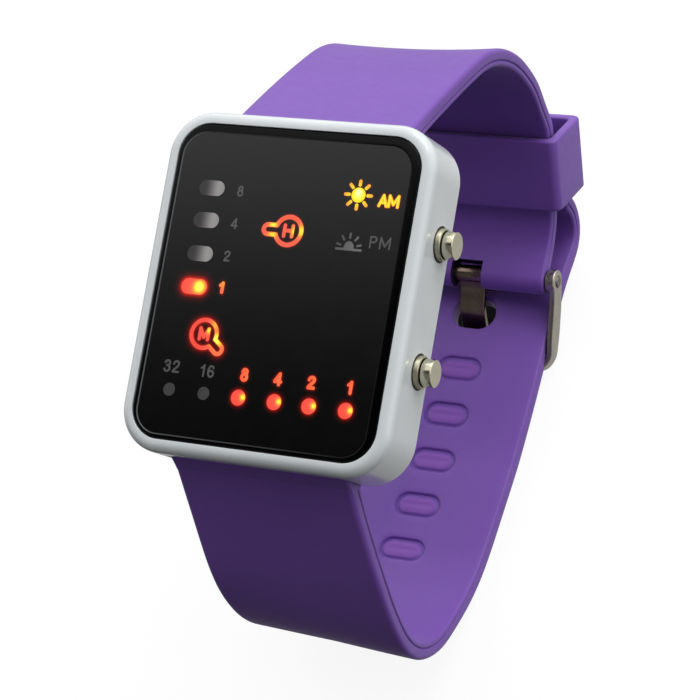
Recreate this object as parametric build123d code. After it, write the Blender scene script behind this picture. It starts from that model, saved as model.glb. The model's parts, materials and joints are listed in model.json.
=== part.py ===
from build123d import *
import math
import os

# ---------------------------------------------------------------------------
# Binary LED wristwatch with a silicone strap, buckled closed.
# Everything is first drawn in the display frame (mm):
#   x to 3 o'clock, y to 12 o'clock, z out of the display, z = 0 at the window's
#   outer face.  Then it is turned about x by TILT and stood on the back of the
#   loop, where the strap and the buckle bar touch the table.
# ---------------------------------------------------------------------------

TILT = 21.0                 # display leans towards 6 o'clock when the watch stands
FLOOR = -56.0               # table height in the turned frame before it is moved to z = 0

# case
CASE_X, CASE_Y, CASE_T = 35.3, 41.6, 8.5
CASE_R = 5.5                # corner radius in plan
CASE_EDGE = 1.2             # rounding of the front edge
GLASS_X, GLASS_Y, GLASS_T = 32.1, 38.4, 1.6
GLASS_R = 4.0
SEAT_Z = -1.8               # ledge the window is bonded to
CAV_X, CAV_Y = 14.9, 15.9   # half sizes of the cavity
BOSS = 3.4                  # corner bosses for the back screws
BOSS_Z = -4.5
BACK_T = 0.8                # case back plate
BACK_UP = 0.5               # raised middle of the case back
BACK_X, BACK_Y = 16.9, 16.85  # half sizes of the plate
SCREW_X, SCREW_Y = 13.0, 14.1
POCKET_Y = 17.5             # inner wall of the strap pocket
POCKET_X = 11.9
POCKET_Z = -3.0
BAR_Y, BAR_Z = 19.15, -5.9  # spring bar axis

# buttons
WALL_X = CASE_X / 2
BTN_Z = -5.3
BTN_Y = (8.0, -7.1)         # upper, lower
CAP_R, COLLAR_R = 1.65, 1.95
CAP_OUT = WALL_X + 2.15
BTN_TRAVEL = 0.8

# display layout
HOUR_X, HOUR_Y = -10.65, (11.34, 7.42, 3.33, -0.68)
MIN_X, MIN_Y = (-11.5, -6.86, -2.23, 2.5, 7.01, 11.72), -13.21

# strap
STRAP_T = 2.3
STRAP_W = 11.75             # half width at the case
STRAP_W1 = 11.5             # half width at the back of the loop
STRAP_W2 = 11.3             # half width at the buckle end
SLOT_L, SLOT_H = 6.2, 3.3
SLOT_PITCH = 6.93
GROOVE_W, GROOVE_D = 0.42, 0.5   # groove round the plug that closes each slot not in use
PLUG_DOWN, OUTER_D = 0.1, 0.5    # plug below the inner face, recess in the outer face
TONGUE_ROOM = 0.8                # extra length of the tongue's slot, towards the pin

# buckle
PIN_Y, PIN_Z = 14.0, -56.1
PIN_R = 0.8
BARREL_R = 1.75
TONGUE_W = 4.0
FRAME_X0, FRAME_X1 = 11.95, 12.8

# keeper
KEEP_Y, KEEP_Z = 29.5, -52.4
KEEP_ANG = 37.0             # slope of the strap inside the keeper
KEEP_L = 10.1
KEEP_D = 9.8
KEEP_X = 13.05
KEEP_WALL = 1.25
KEEP_TRAVEL = 1.0



def box(x0, x1, y0, y1, z0, z1):
    return Pos((x0 + x1) / 2, (y0 + y1) / 2, (z0 + z1) / 2) * Box(x1 - x0, y1 - y0, z1 - z0)


def rrect(x, y, r, z0, z1):
    """Rounded rectangular prism, full sizes x and y, centred on the z axis."""
    return extrude(Pos(0, 0, z0) * RectangleRounded(x, y, r), z1 - z0)


def cylx(x0, x1, r, y, z):
    return Pos((x0 + x1) / 2, y, z) * Rot(0, 90, 0) * Cylinder(r, x1 - x0)


def cylz(z0, z1, r, x, y):
    return Pos(x, y, (z0 + z1) / 2) * Cylinder(r, z1 - z0)


def prism_x(points, x0, x1):
    """Polygon in the y-z plane, drawn out from x0 to x1."""
    pts = [(0.0, p[0], p[1]) for p in points]
    face = make_face(Polyline(*pts, close=True).edges())
    face = Pos(x0, 0, 0) * face
    return extrude(face, x1 - x0, dir=(1, 0, 0))


os.makedirs("parts", exist_ok=True)
written = []


def turned(y, z):
    a = math.radians(TILT)
    return y * math.cos(a) - z * math.sin(a), y * math.sin(a) + z * math.cos(a)


# ---------------------------------------------------------------------------
# strap lines
# ---------------------------------------------------------------------------

def unit(a):
    n = math.hypot(*a)
    return (a[0] / n, a[1] / n)


ka = math.radians(KEEP_ANG)
KD = (-math.cos(ka), -math.sin(ka))          # along the strap, from case to buckle
KN = (math.sin(ka), -math.cos(ka))           # away from the wrist
RUN_TOP = KEEP_L / 2 + 0.3                   # straight run that the keeper slides on
RUN_LOW = KEEP_L / 2 + KEEP_TRAVEL + 0.1


def keep_pt(u, n):
    return (KEEP_Y + KD[0] * u + KN[0] * n, KEEP_Z + KD[1] * u + KN[1] * n)


UP_N, TAIL_N = -2.4, 2.05
up_k1, up_k2 = keep_pt(-RUN_TOP, UP_N), keep_pt(RUN_LOW, UP_N)
ta = math.radians(KEEP_ANG + 8)              # the tail runs a little steeper inside the keeper
TD = (-math.cos(ta), -math.sin(ta))
tail_exit = keep_pt(KEEP_L / 2, TAIL_N)
tl_k2 = (tail_exit[0] + TD[0] * 1.25, tail_exit[1] + TD[1] * 1.25)
tl_k1 = (tail_exit[0] - TD[0] * 7.0, tail_exit[1] - TD[1] * 7.0)

th = math.radians(TILT)
FD = (math.cos(th), -math.sin(th))           # direction of the table line, towards +y
FU = (math.sin(th), math.cos(th))            # up from the table


def table_pt(s, h):
    """Point s along the table line and h above it."""
    base = FLOOR + h
    return (FU[0] * base + FD[0] * s, FU[1] * base + FD[1] * s)


FLAT0, FLAT1 = 0.3, 7.3
lo_f1, lo_f2 = table_pt(FLAT0, STRAP_T / 2), table_pt(FLAT1, STRAP_T / 2)

upper_pts = [(21.1, -6.3), (24.0, -9.55), (28.1, -14.1), (32.1, -18.8), (35.0, -23.1), (36.4, -27.2),
             (36.9, -31.7), (36.6, -35.8), (35.85, -39.5), (34.75, -42.3), (33.7, -44.9), up_k1]
lower_pts = [(-20.9, -5.85), (-25.4, -11.1), (-29.4, -15.8), (-32.3, -19.5), (-35.2, -23.9), (-37.2, -28.3),
             (-37.9, -32.3), (-37.45, -36.1), (-36.1, -39.3), (-33.9, -42.0), (-31.0, -44.9), (-27.6, -47.5), lo_f1]
back_pts = [lo_f2, (-7.4, -55.5), (-2.0, -56.95), (3.0, -58.25), (8.0, -59.55), (12.5, -60.8), (16.2, -62.0),
            (19.0, -63.2), (21.5, -63.7), (23.5, -62.85), (24.7, -61.3), (25.3, -59.75), tl_k2]


def seg_spline(pts, t0=None, t1=None):
    """Spline in the y-z plane with end directions."""
    p3 = [(0.0, p[0], p[1]) for p in pts]
    tang = []
    if t0 is None:
        t0 = unit((pts[1][0] - pts[0][0], pts[1][1] - pts[0][1]))
    if t1 is None:
        t1 = unit((pts[-1][0] - pts[-2][0], pts[-1][1] - pts[-2][1]))
    tang = [Vector(0, t0[0], t0[1]), Vector(0, t1[0], t1[1])]
    return Spline(*p3, tangents=tang)


def sample(edge, n):
    out = []
    for i in range(n + 1):
        t = i / n
        p = edge @ t
        d = edge % t
        out.append(((p.Y, p.Z), unit((d.Y, d.Z))))
    return out


def offset_pts(samples, h):
    """Points h to the right-hand side of the run (away from the wrist when it runs
    from 12 o'clock round the back)."""
    return [((p[0] + d[1] * h), (p[1] - d[0] * h)) for p, d in samples]


def curve(pts, t0, t1):
    p3 = [(0.0, p[0], p[1]) for p in pts]
    return Spline(*p3, tangents=[Vector(0, *t0), Vector(0, *t1)])


def band(parts, t, x_half, side=1):
    """Solid strap band around a chain of ('line' | 'spline', samples)."""
    outer, inner = [], []
    for kind, smp in parts:
        for h, store in ((t / 2, outer), (-t / 2, inner)):
            o = offset_pts(smp, h * side)
            if kind == "line":
                store.append(Line((0, *o[0]), (0, *o[-1])))
            else:
                store.append(curve(o, smp[0][1], smp[-1][1]))
    first_o = outer[0] @ 0
    first_i = inner[0] @ 0
    last_o = outer[-1] @ 1
    last_i = inner[-1] @ 1
    edges = outer + inner + [Line(first_o, first_i), Line(last_o, last_i)]
    w = Wire([e for x in edges for e in x.edges()])
    f = make_face(w.edges())
    return extrude(Pos(-x_half, 0, 0) * f, 2 * x_half, dir=(1, 0, 0))


# ---------------------------------------------------------------------------
# case
# ---------------------------------------------------------------------------
case = rrect(CASE_X, CASE_Y, CASE_R, -CASE_T, 0)
case = fillet(case.edges().filter_by(GeomType.CIRCLE).group_by(Axis.Z)[-1]
              + case.edges().filter_by(GeomType.LINE).group_by(Axis.Z)[-1], CASE_EDGE)
low = case.edges().group_by(Axis.Z)[0]
case = fillet(low, 0.7)
case -= rrect(GLASS_X + 0.1, GLASS_Y + 0.1, GLASS_R + 0.05, SEAT_Z, 1)
case -= rrect(2 * CAV_X, 2 * CAV_Y, 1.5, -CASE_T - 1, SEAT_Z + 0.01)
for sx in (-1, 1):
    for sy in (-1, 1):
        b = box(min(sx * (CAV_X - BOSS), sx * (CAV_X + 0.4)), max(sx * (CAV_X - BOSS), sx * (CAV_X + 0.4)),
                min(sy * (CAV_Y - BOSS), sy * (CAV_Y + 0.4)), max(sy * (CAV_Y - BOSS), sy * (CAV_Y + 0.4)),
                -CASE_T + BACK_T, BOSS_Z)
        case += b
case -= rrect(2 * BACK_X + 0.1, 2 * BACK_Y + 0.1, 3.05, -CASE_T - 1, -CASE_T + BACK_T)
# strap pockets
for sy in (-1, 1):
    case -= box(-POCKET_X, POCKET_X, min(sy * POCKET_Y, sy * 24), max(sy * POCKET_Y, sy * 24), -CASE_T - 1, POCKET_Z)
    case -= cylx(-13.2, 13.2, 0.5, sy * BAR_Y, BAR_Z)
# gasket groove
gz = -CASE_T + BACK_T
case -= (rrect(32.5, 33.3, 2.3, gz - 0.01, gz + 0.35) - rrect(30.9, 32.3, 1.9, gz - 0.02, gz + 0.36))
# screw pilots and button bores
for sx in (-1, 1):
    for sy in (-1, 1):
        case -= cylz(gz - 0.01, -5.1, 0.55, sx * SCREW_X, sy * SCREW_Y)
for y in BTN_Y:
    case -= cylx(CAV_X - 0.7, WALL_X + 0.5, 1.35, y, BTN_Z)
    case -= cylx(WALL_X - 0.8, WALL_X + 0.5, COLLAR_R + 0.14, y, BTN_Z)
case_body = case

display_window = rrect(GLASS_X, GLASS_Y, GLASS_R, -GLASS_T, 0)
display_window = chamfer(display_window.edges().group_by(Axis.Z)[-1], 0.25)
window_gasket = rrect(GLASS_X - 0.2, GLASS_Y - 0.2, GLASS_R - 0.1, SEAT_Z, -GLASS_T) - \
    rrect(2 * CAV_X + 0.4, 2 * CAV_Y + 0.4, 1.7, SEAT_Z - 0.1, -GLASS_T + 0.1)

# ---------------------------------------------------------------------------
# display stack, put in from the front before the window is bonded
# ---------------------------------------------------------------------------
LP_Z0, LP_Z1 = -2.05, -1.75


def pill(w, h, x, y, z0, z1):
    return extrude(Pos(x, y, z0) * SlotOverall(w, h), z1 - z0)


digit_spots = [(-6.85, 11.25), (-6.9, 7.35), (-6.95, 3.4), (-7.0, -0.6)] + \
    [(x, MIN_Y + 2.72) for x in (-11.7, -6.9, -2.0, 2.49, 6.84, 11.77)]
symbols = [("ring", 0.46, 7.0, 2.05), ("ring", -8.19, -6.19, 2.05), ("disc", 8.66, 11.96, 1.8),
           ("tag", 12.64, 11.54, 1.0), ("disc", 8.55, 6.57, 1.6), ("tag", 12.44, 6.56, 1.0)]

hour_light_windows = Compound(children=[pill(3.35, 1.9, HOUR_X, y, LP_Z0, LP_Z1).solid() for y in HOUR_Y])
minute_light_windows = Compound(children=[cylz(LP_Z0, LP_Z1, 0.85, x, MIN_Y).solid() for x in MIN_X])
digit_light_windows = Compound(children=[box(x - 0.65, x + 0.65, y - 0.8, y + 0.8, LP_Z0, LP_Z1).solid()
                                         for x, y in digit_spots])
sym = []
for kind, x, y, r in symbols:
    if kind == "tag":
        sym.append(box(x - 1.5, x + 1.5, y - r, y + r, LP_Z0, LP_Z1).solid())
    else:
        sym.append(cylz(LP_Z0, LP_Z1, r, x, y).solid())
symbol_light_windows = Compound(children=sym)

plate = rrect(2 * CAV_X - 0.2, 2 * CAV_Y - 0.2, 1.4, LP_Z0, LP_Z1)
G = 0.03
for y in HOUR_Y:
    plate -= pill(3.35 + 2 * G, 1.9 + 2 * G, HOUR_X, y, LP_Z0 - 1, LP_Z1 + 1)
for x in MIN_X:
    plate -= cylz(LP_Z0 - 1, LP_Z1 + 1, 0.85 + G, x, MIN_Y)
for x, y in digit_spots:
    plate -= box(x - 0.65 - G, x + 0.65 + G, y - 0.8 - G, y + 0.8 + G, LP_Z0 - 1, LP_Z1 + 1)
for kind, x, y, r in symbols:
    if kind == "tag":
        plate -= box(x - 1.5 - G, x + 1.5 + G, y - r - G, y + r + G, LP_Z0 - 1, LP_Z1 + 1)
    else:
        plate -= cylz(LP_Z0 - 1, LP_Z1 + 1, r + G, x, y)
legend_plate = plate

LG_Z0, LG_Z1 = -3.68, -2.08
guide = rrect(2 * CAV_X - 0.3, 2 * CAV_Y - 0.3, 1.35, LG_Z0, LG_Z1)
for y in HOUR_Y:
    guide -= box(HOUR_X - 1.6, HOUR_X + 1.6, y - 0.9, y + 0.9, LG_Z0 - 1, LG_Z1 + 1)
    guide -= box(-7.7, -6.2, y - 0.8, y + 0.8, LG_Z0 - 1, LG_Z1 + 1)
for x in MIN_X:
    guide -= cylz(LG_Z0 - 1, LG_Z1 + 1, 1.0, x, MIN_Y)
    guide -= box(x - 0.7, x + 0.7, MIN_Y + 1.9, MIN_Y + 3.5, LG_Z0 - 1, LG_Z1 + 1)
for kind, x, y, r in symbols:
    if kind == "tag":
        guide -= box(x - 1.3, x + 1.3, y - 0.9, y + 0.9, LG_Z0 - 1, LG_Z1 + 1)
    else:
        guide -= cylz(LG_Z0 - 1, LG_Z1 + 1, r - 0.15, x, y)
light_guide = guide

PCB_Z0, PCB_Z1 = -4.5, -3.7
circuit_board = rrect(2 * CAV_X - 0.3, 2 * CAV_Y - 0.3, 1.35, PCB_Z0, PCB_Z1)
for x, y in ((-3.0, 6.0), (-3.0, -6.0)):
    circuit_board -= cylz(PCB_Z0 - 1, PCB_Z1 + 1, 0.5, x, y)
for y in BTN_Y:             # room for the button clips
    circuit_board -= box(13.6, 16, y - 1.4, y + 1.4, PCB_Z0 - 1, PCB_Z1 + 1)

led_spots = [(HOUR_X, y) for y in HOUR_Y] + [(x, MIN_Y) for x in MIN_X] + \
    [(s[1], s[2]) for s in symbols]
leds = Compound(children=[(box(x - 0.8, x + 0.8, y - 0.4, y + 0.4, PCB_Z1, PCB_Z1 + 0.35)
                           + box(x - 0.5, x + 0.5, y - 0.4, y + 0.4, PCB_Z1 + 0.35, PCB_Z1 + 0.6)).solid()
                          for x, y in led_spots])

# chip, crystal, battery and contacts behind the board
chip = box(7.4, 10.8, -14.4, -10.6, PCB_Z0 - 1.15, PCB_Z0 - 0.15)
chip = chamfer(chip.edges().group_by(Axis.Z)[0], 0.2)
for i in range(4):
    yy = -14.1 + i * 0.95
    for x0, x1 in ((6.9, 7.5), (10.7, 11.2)):
        chip += box(x0, x1, yy, yy + 0.4, PCB_Z0 - 0.35, PCB_Z0)
controller_chip = chip
quartz_crystal = Pos(6.3, 13.2, PCB_Z0 - 1.05) * Rot(0, 90, 0) * Cylinder(1.0, 6.0)
quartz_crystal = fillet(quartz_crystal.edges().group_by(Axis.X)[-1], 0.3)
quartz_crystal += cylx(2.3, 3.4, 0.18, 12.8, PCB_Z0 - 1.05) + cylx(2.3, 3.4, 0.18, 13.6, PCB_Z0 - 1.05)

BAT_X, BAT_Z0, BAT_Z1 = -3.4, -7.35, -4.85
battery = cylz(BAT_Z0, BAT_Z1 - 0.4, 10.0, BAT_X, 0)
battery = fillet(battery.edges().group_by(Axis.Z)[0], 0.5)
battery += cylz(BAT_Z1 - 0.41, BAT_Z1, 8.6, BAT_X, 0)

HOLD_Z0, HOLD_Z1 = -7.66, -4.6
holder = rrect(2 * CAV_X - 0.4, 2 * CAV_Y - 0.4, 1.3, HOLD_Z0, HOLD_Z1)
for sx in (-1, 1):
    for sy in (-1, 1):
        cx0, cx1 = sorted((sx * (CAV_X - BOSS - 0.15), sx * 17))
        cy0, cy1 = sorted((sy * (CAV_Y - BOSS - 0.15), sy * 18))
        holder -= box(cx0, cx1, cy0, cy1, -10, -4)
holder -= cylz(-10, BAT_Z1 + 0.05, 10.15, BAT_X, 0)
holder -= cylz(-7, -4, 7.5, BAT_X, 0)
holder -= box(6.6, 11.4, -14.9, -10.3, -5.9, -4)
holder -= box(2.0, 9.7, 11.9, 14.5, -6.8, -4)
for y in BTN_Y:
    holder -= box(11.6, 17, y - 2.0, y + 2.0, -7.2, -4)
holder -= box(-14.2, 8.0, -2.3, 2.3, -10, -7.3)
movement_holder = holder

clip = box(-13.8, 7.6, -2.0, 2.0, -7.62, -7.45)
clip += box(-6.4, -0.4, -1.6, 1.6, -7.46, -7.36)
battery_clip = clip

contact_springs = Compound(children=[
    (box(12.85, 13.1, y - 1.2, y + 1.2, -6.9, PCB_Z0) + box(11.8, 13.1, y - 1.2, y + 1.2, -4.7, PCB_Z0)).solid()
    for y in BTN_Y])

gasket = rrect(32.4, 33.2, 2.25, gz + 0.01, gz + 0.33) - rrect(31.0, 32.4, 1.95, gz - 0.1, gz + 0.5)
case_back_gasket = gasket

plate = rrect(2 * BACK_X, 2 * BACK_Y, 3.0, -CASE_T, -CASE_T + BACK_T)
plate += rrect(2 * CAV_X - 1.0, 2 * (CAV_Y - BOSS) - 1.0, 1.2, -CASE_T - BACK_UP, -CASE_T + 0.01)
plate = chamfer(plate.edges().group_by(Axis.Z)[0], 0.25)
for sx in (-1, 1):
    for sy in (-1, 1):
        plate -= cylz(-12, 0, 0.72, sx * SCREW_X, sy * SCREW_Y)
        plate -= cylz(-12, -CASE_T + 0.45, 1.25, sx * SCREW_X, sy * SCREW_Y)
case_back = plate

scr = []
for sx in (-1, 1):
    for sy in (-1, 1):
        s = cylz(-CASE_T, -CASE_T + 0.45, 1.2, sx * SCREW_X, sy * SCREW_Y)
        s += cylz(-CASE_T + 0.4, -5.2, 0.55, sx * SCREW_X, sy * SCREW_Y)
        s -= box(sx * SCREW_X - 0.14, sx * SCREW_X + 0.14, sy * SCREW_Y - 0.8, sy * SCREW_Y + 0.8, -CASE_T - 1, -CASE_T + 0.25)
        s -= box(sx * SCREW_X - 0.8, sx * SCREW_X + 0.8, sy * SCREW_Y - 0.14, sy * SCREW_Y + 0.14, -CASE_T - 1, -CASE_T + 0.25)
        scr.append(s.solid())
case_back_screws = Compound(children=scr)

# ---------------------------------------------------------------------------
# buttons: pressed collar, sprung cap on a stem, seal and retaining clip
# ---------------------------------------------------------------------------
buttons = {}
for name, y in (("upper", BTN_Y[0]), ("lower", BTN_Y[1])):
    x0 = WALL_X - 0.8
    col = cylx(x0, WALL_X + 0.7, COLLAR_R, y, BTN_Z) + cylx(CAV_X - 0.05, x0 + 0.05, 1.35, y, BTN_Z)
    col -= cylx(x0 + 0.2, WALL_X + 1, CAP_R + 0.07, y, BTN_Z)
    col -= cylx(CAV_X - 0.2, x0 + 0.4, 0.72, y, BTN_Z)
    col = chamfer(col.edges().filter_by(GeomType.CIRCLE).group_by(Axis.X)[-1], 0.1)
    cap = cylx(WALL_X + 0.25, CAP_OUT, CAP_R, y, BTN_Z)
    cap = fillet(cap.edges().filter_by(GeomType.CIRCLE).group_by(Axis.X)[-1], 0.14)
    cap -= (cylx(WALL_X, WALL_X + 1.4, 1.3, y, BTN_Z) - cylx(WALL_X - 0.1, WALL_X + 1.5, 0.66, y, BTN_Z))
    cap += cylx(CAV_X - 0.9, WALL_X + 0.3, 0.66, y, BTN_Z)
    cap -= (cylx(CAV_X - 0.37, CAV_X - 0.08, 0.9, y, BTN_Z) - cylx(CAV_X - 0.4, CAV_X - 0.05, 0.48, y, BTN_Z))
    cap -= (cylx(CAV_X + 1.0, CAV_X + 1.4, 0.9, y, BTN_Z) - cylx(CAV_X + 0.9, CAV_X + 1.5, 0.44, y, BTN_Z))
    seal = Pos(CAV_X + 1.2, y, BTN_Z) * Rot(0, 90, 0) * Torus(0.58, 0.125)
    ring = cylx(CAV_X - 0.34, CAV_X - 0.11, 1.2, y, BTN_Z) - cylx(CAV_X - 0.4, CAV_X, 0.5, y, BTN_Z)
    ring -= box(CAV_X - 0.4, CAV_X, y - 0.42, y + 0.42, BTN_Z - 1.3, BTN_Z)
    helix = Helix(pitch=0.45, height=1.62, radius=0.98)
    wire = Plane(origin=helix @ 0, z_dir=helix % 0) * Circle(0.11)
    spring = sweep(wire, path=helix, is_frenet=True)
    spring = Pos(x0 + 0.4, y, BTN_Z) * Rot(0, 90, 0) * spring
    buttons[name] = dict(collar=col, cap=cap, seal=seal, clip=ring, spring=spring)

# ---------------------------------------------------------------------------
# spring bars
# ---------------------------------------------------------------------------


def spring_bar(sy):
    y, z = sy * BAR_Y, BAR_Z
    b = cylx(-11.35, 11.35, 0.75, y, z)
    b += cylx(-13.05, 13.05, 0.42, y, z)
    for sx in (-1, 1):
        a, c = sorted((sx * 11.3, sx * 11.7))
        b += cylx(a, c, 0.62, y, z)
    return b


spring_bar_upper, spring_bar_lower = spring_bar(1), spring_bar(-1)

# ---------------------------------------------------------------------------
# strap halves
# ---------------------------------------------------------------------------
t_up0 = unit((0.667, -0.745))
up_a = sample(seg_spline(upper_pts, t_up0, KD), 44)
up_b = [(up_k1, KD), (up_k2, KD)]
pin_in = (PIN_Y + 0.9, PIN_Z + 0.65)
up_c = sample(seg_spline([up_k2, (20.4, -55.35), (17.6, -55.75), pin_in], KD, unit((-0.99, -0.14))), 16)
band_up = band([("spline", up_a), ("line", up_b), ("spline", up_c)], STRAP_T, STRAP_W, side=-1)
block_up = prism_x([(17.65, -3.1), (20.6, -3.1), (21.7, -4.75), (22.3, -8.9), (18.3, -8.25), (17.65, -7.7)], -STRAP_W, STRAP_W)
block_up = fillet(block_up.edges().filter_by(Axis.X).sort_by(Axis.Y)[-1], 0.8)
strap_upper = band_up + block_up
strap_upper += cylx(-STRAP_W, STRAP_W, BARREL_R, PIN_Y, PIN_Z)
# side taper towards the buckle
for sx in (-1, 1):
    tri = [(sx * STRAP_W2, -90), (sx * STRAP_W2, -46), (sx * STRAP_W, -22), (sx * 20, -22), (sx * 20, -90)]
    f = make_face(Polyline(*[(p[0], 0, p[1]) for p in tri], close=True).edges())
    strap_upper -= extrude(Pos(0, 5, 0) * f, 60, dir=(0, 1, 0))
strap_upper -= cylx(-20, 20, PIN_R + 0.04, PIN_Y, PIN_Z)
strap_upper -= box(-TONGUE_W / 2 - 0.25, TONGUE_W / 2 + 0.25, PIN_Y - 4, PIN_Y + 2.2, PIN_Z - 3, PIN_Z + 3)
strap_upper -= cylx(-20, 20, 0.8, BAR_Y, BAR_Z)

t_lo0 = unit((-0.65, -0.76))
lo_a = sample(seg_spline(lower_pts, t_lo0, FD), 44)
lo_b = [(lo_f1, FD), (lo_f2, FD)]
back_t1 = (-TD[0], -TD[1])
lo_c = sample(seg_spline(back_pts, FD, back_t1), 48)
lo_d = [(tl_k2, back_t1), (tl_k1, back_t1)]
band_lo = band([("spline", lo_a), ("line", lo_b), ("spline", lo_c), ("line", lo_d)], STRAP_T, STRAP_W, side=1)
block_lo = prism_x([(-17.65, -3.1), (-20.6, -3.1), (-21.9, -5.2), (-22.2, -9.1), (-18.3, -8.25), (-17.65, -7.7)], -STRAP_W, STRAP_W)
strap_lower = band_lo + block_lo
for sx in (-1, 1):
    tri = [(sx * 11.78, -45), (sx * STRAP_W1, -26), (sx * STRAP_W2, 4), (sx * STRAP_W2, 60), (sx * 20, 60), (sx * 20, -45)]
    f = make_face(Polyline(*[(p[0], p[1], 0) for p in tri], close=True).edges())
    strap_lower -= extrude(Pos(0, 0, -90) * f, 51, dir=(0, 0, 1))
strap_lower -= cylx(-20, 20, 0.8, -BAR_Y, BAR_Z)
# rounded tail corners are cut in the plane of the straight run inside the keeper
# slots, spaced along the back run
run = lo_a + lo_b[1:] + lo_c[1:]
cum = [0.0]
fine = []
for smp in (lo_a, lo_b, lo_c):
    if len(smp) == 2:
        (p, d), (q, _) = smp
        for i in range(21):
            f = i / 20
            fine.append(((p[0] + (q[0] - p[0]) * f, p[1] + (q[1] - p[1]) * f), d))
    else:
        fine += smp[1:] if fine else smp
for a, b in zip(fine, fine[1:]):
    cum.append(cum[-1] + math.hypot(b[0][0] - a[0][0], b[0][1] - a[0][1]))


def at_len(s):
    for i in range(len(cum) - 1):
        if cum[i + 1] >= s:
            f = (s - cum[i]) / max(cum[i + 1] - cum[i], 1e-9)
            (p, d), (q, e) = fine[i], fine[i + 1]
            return ((p[0] + (q[0] - p[0]) * f, p[1] + (q[1] - p[1]) * f), unit((d[0] + (e[0] - d[0]) * f, d[1] + (e[1] - d[1]) * f)))
    return fine[-1]


SLOT_REF_Y, TONGUE_SLOT_Y = 7.1, 8.0      # the tongue pulls its slot towards the pin


def len_at(y):
    best = min(range(len(fine)), key=lambda i: abs(fine[i][0][0] - y) + (100 if cum[i] < 60 else 0))
    return cum[best]


slots = []
for k in range(-1, 6):
    s = len_at(TONGUE_SLOT_Y) if k == 0 else len_at(SLOT_REF_Y) - k * SLOT_PITCH
    (p, d) = at_len(s)
    out = (0, d[1], -d[0])

    def at(h, along=0.0):
        return Plane(origin=(0, p[0] + out[1] * h + d[0] * along, p[1] + out[2] * h + d[1] * along),
                     x_dir=(1, 0, 0), z_dir=out)

    if k == 0:                             # open, and longer towards the pin, so that the tongue can turn
        strap_lower -= extrude(at(-3.0, TONGUE_ROOM / 2) * SlotOverall(SLOT_L, SLOT_H + TONGUE_ROOM), 6.0)
    else:                                  # closed by a plug inside a narrow groove, with a recess outside
        half = STRAP_T / 2
        groove = extrude(at(-3.0) * SlotOverall(SLOT_L, SLOT_H), 3.0 - half + GROOVE_D)
        groove -= extrude(at(-half + PLUG_DOWN) * SlotOverall(SLOT_L - 2 * GROOVE_W, SLOT_H - 2 * GROOVE_W), 2.0)
        strap_lower -= groove
        strap_lower -= extrude(at(half - OUTER_D) * SlotOverall(SLOT_L, SLOT_H), 2.0)
    slots.append((round(p[0], 3), round(p[1], 3), round(d[0], 4), round(d[1], 4)))

# ---------------------------------------------------------------------------
# buckle: pin through the barrel, frame and tongue turning on it
# ---------------------------------------------------------------------------
buckle_pin = cylx(-12.95, 12.95, PIN_R, PIN_Y, PIN_Z)
buckle_pin = chamfer(buckle_pin.edges().filter_by(GeomType.CIRCLE), 0.15)


def ribbon_var(pts):
    """Band in the y-z plane along (y, z, width) points."""
    left, right = [], []
    for i, p in enumerate(pts):
        a = pts[max(i - 1, 0)]
        b = pts[min(i + 1, len(pts) - 1)]
        d = unit((b[0] - a[0], b[1] - a[1]))
        left.append((p[0] - d[1] * p[2] / 2, p[1] + d[0] * p[2] / 2))
        right.append((p[0] + d[1] * p[2] / 2, p[1] - d[0] * p[2] / 2))
    return left, right


# centre line of an arm, from the pin's eye to the outer bar, with its depth
arm_line = [(14.0, -56.1, 3.1), (12.4, -57.05, 3.25), (10.3, -57.85, 3.25), (8.0, -58.45, 3.15), (5.8, -58.95, 3.05),
            (4.2, -59.3, 2.85), (3.0, -59.57, 2.72), (2.2, -59.72, 2.35), (1.7, -59.75, 1.5)]
left, right = ribbon_var(arm_line)
p3 = [(0, *p) for p in left]
q3 = [(0, *p) for p in right]
edges = [Spline(*p3), Spline(*q3), Line(p3[0], q3[0]), Line(p3[-1], q3[-1])]
arm_face = make_face(Wire([e for x in edges for e in x.edges()]).edges())
frame_solid = extrude(Pos(-FRAME_X1, 0, 0) * arm_face, 2 * FRAME_X1, dir=(1, 0, 0))
# room for the strap between the two arms; what is left at the far end is the bar
frame_solid -= prism_x([(4.4, -70), (4.4, -59.85), (0, -58.68), (0, -50), (20, -50), (20, -70)], -FRAME_X0, FRAME_X0)
for a, b in ((-FRAME_X1, -FRAME_X0), (FRAME_X0, FRAME_X1)):
    frame_solid += cylx(a, b, 1.6, PIN_Y, PIN_Z)
frame_solid -= cylx(-20, 20, PIN_R + 0.05, PIN_Y, PIN_Z)
# seat for the tongue's tip in the bar
seat = prism_x([(0.0, -59.2), (5.2, -60.55), (5.2, -64), (0.0, -64)], -TONGUE_W / 2 - 0.2, TONGUE_W / 2 + 0.2)
frame_solid -= seat
buckle_frame = frame_solid

tongue_line = [(12.9, -57.25), (11.5, -57.6), (10.3, -58.1), (9.2, -58.9), (8.2, -59.9), (7.2, -60.75), (6.1, -61.15),
               (4.8, -60.98), (3.2, -60.56), (1.5, -60.12)]


def ribbon(pts, t):
    left, right = [], []
    for i, p in enumerate(pts):
        a = pts[max(i - 1, 0)]
        b = pts[min(i + 1, len(pts) - 1)]
        d = unit((b[0] - a[0], b[1] - a[1]))
        left.append((p[0] - d[1] * t / 2, p[1] + d[0] * t / 2))
        right.append((p[0] + d[1] * t / 2, p[1] - d[0] * t / 2))
    return left + right[::-1]


tongue = prism_x(ribbon(tongue_line, 0.8), -TONGUE_W / 2 + 0.2, TONGUE_W / 2 - 0.2)
tongue += cylx(-TONGUE_W / 2, TONGUE_W / 2, 1.55, PIN_Y, PIN_Z)
tongue -= cylx(-TONGUE_W, TONGUE_W, PIN_R + 0.05, PIN_Y, PIN_Z)
buckle_tongue = tongue

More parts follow.
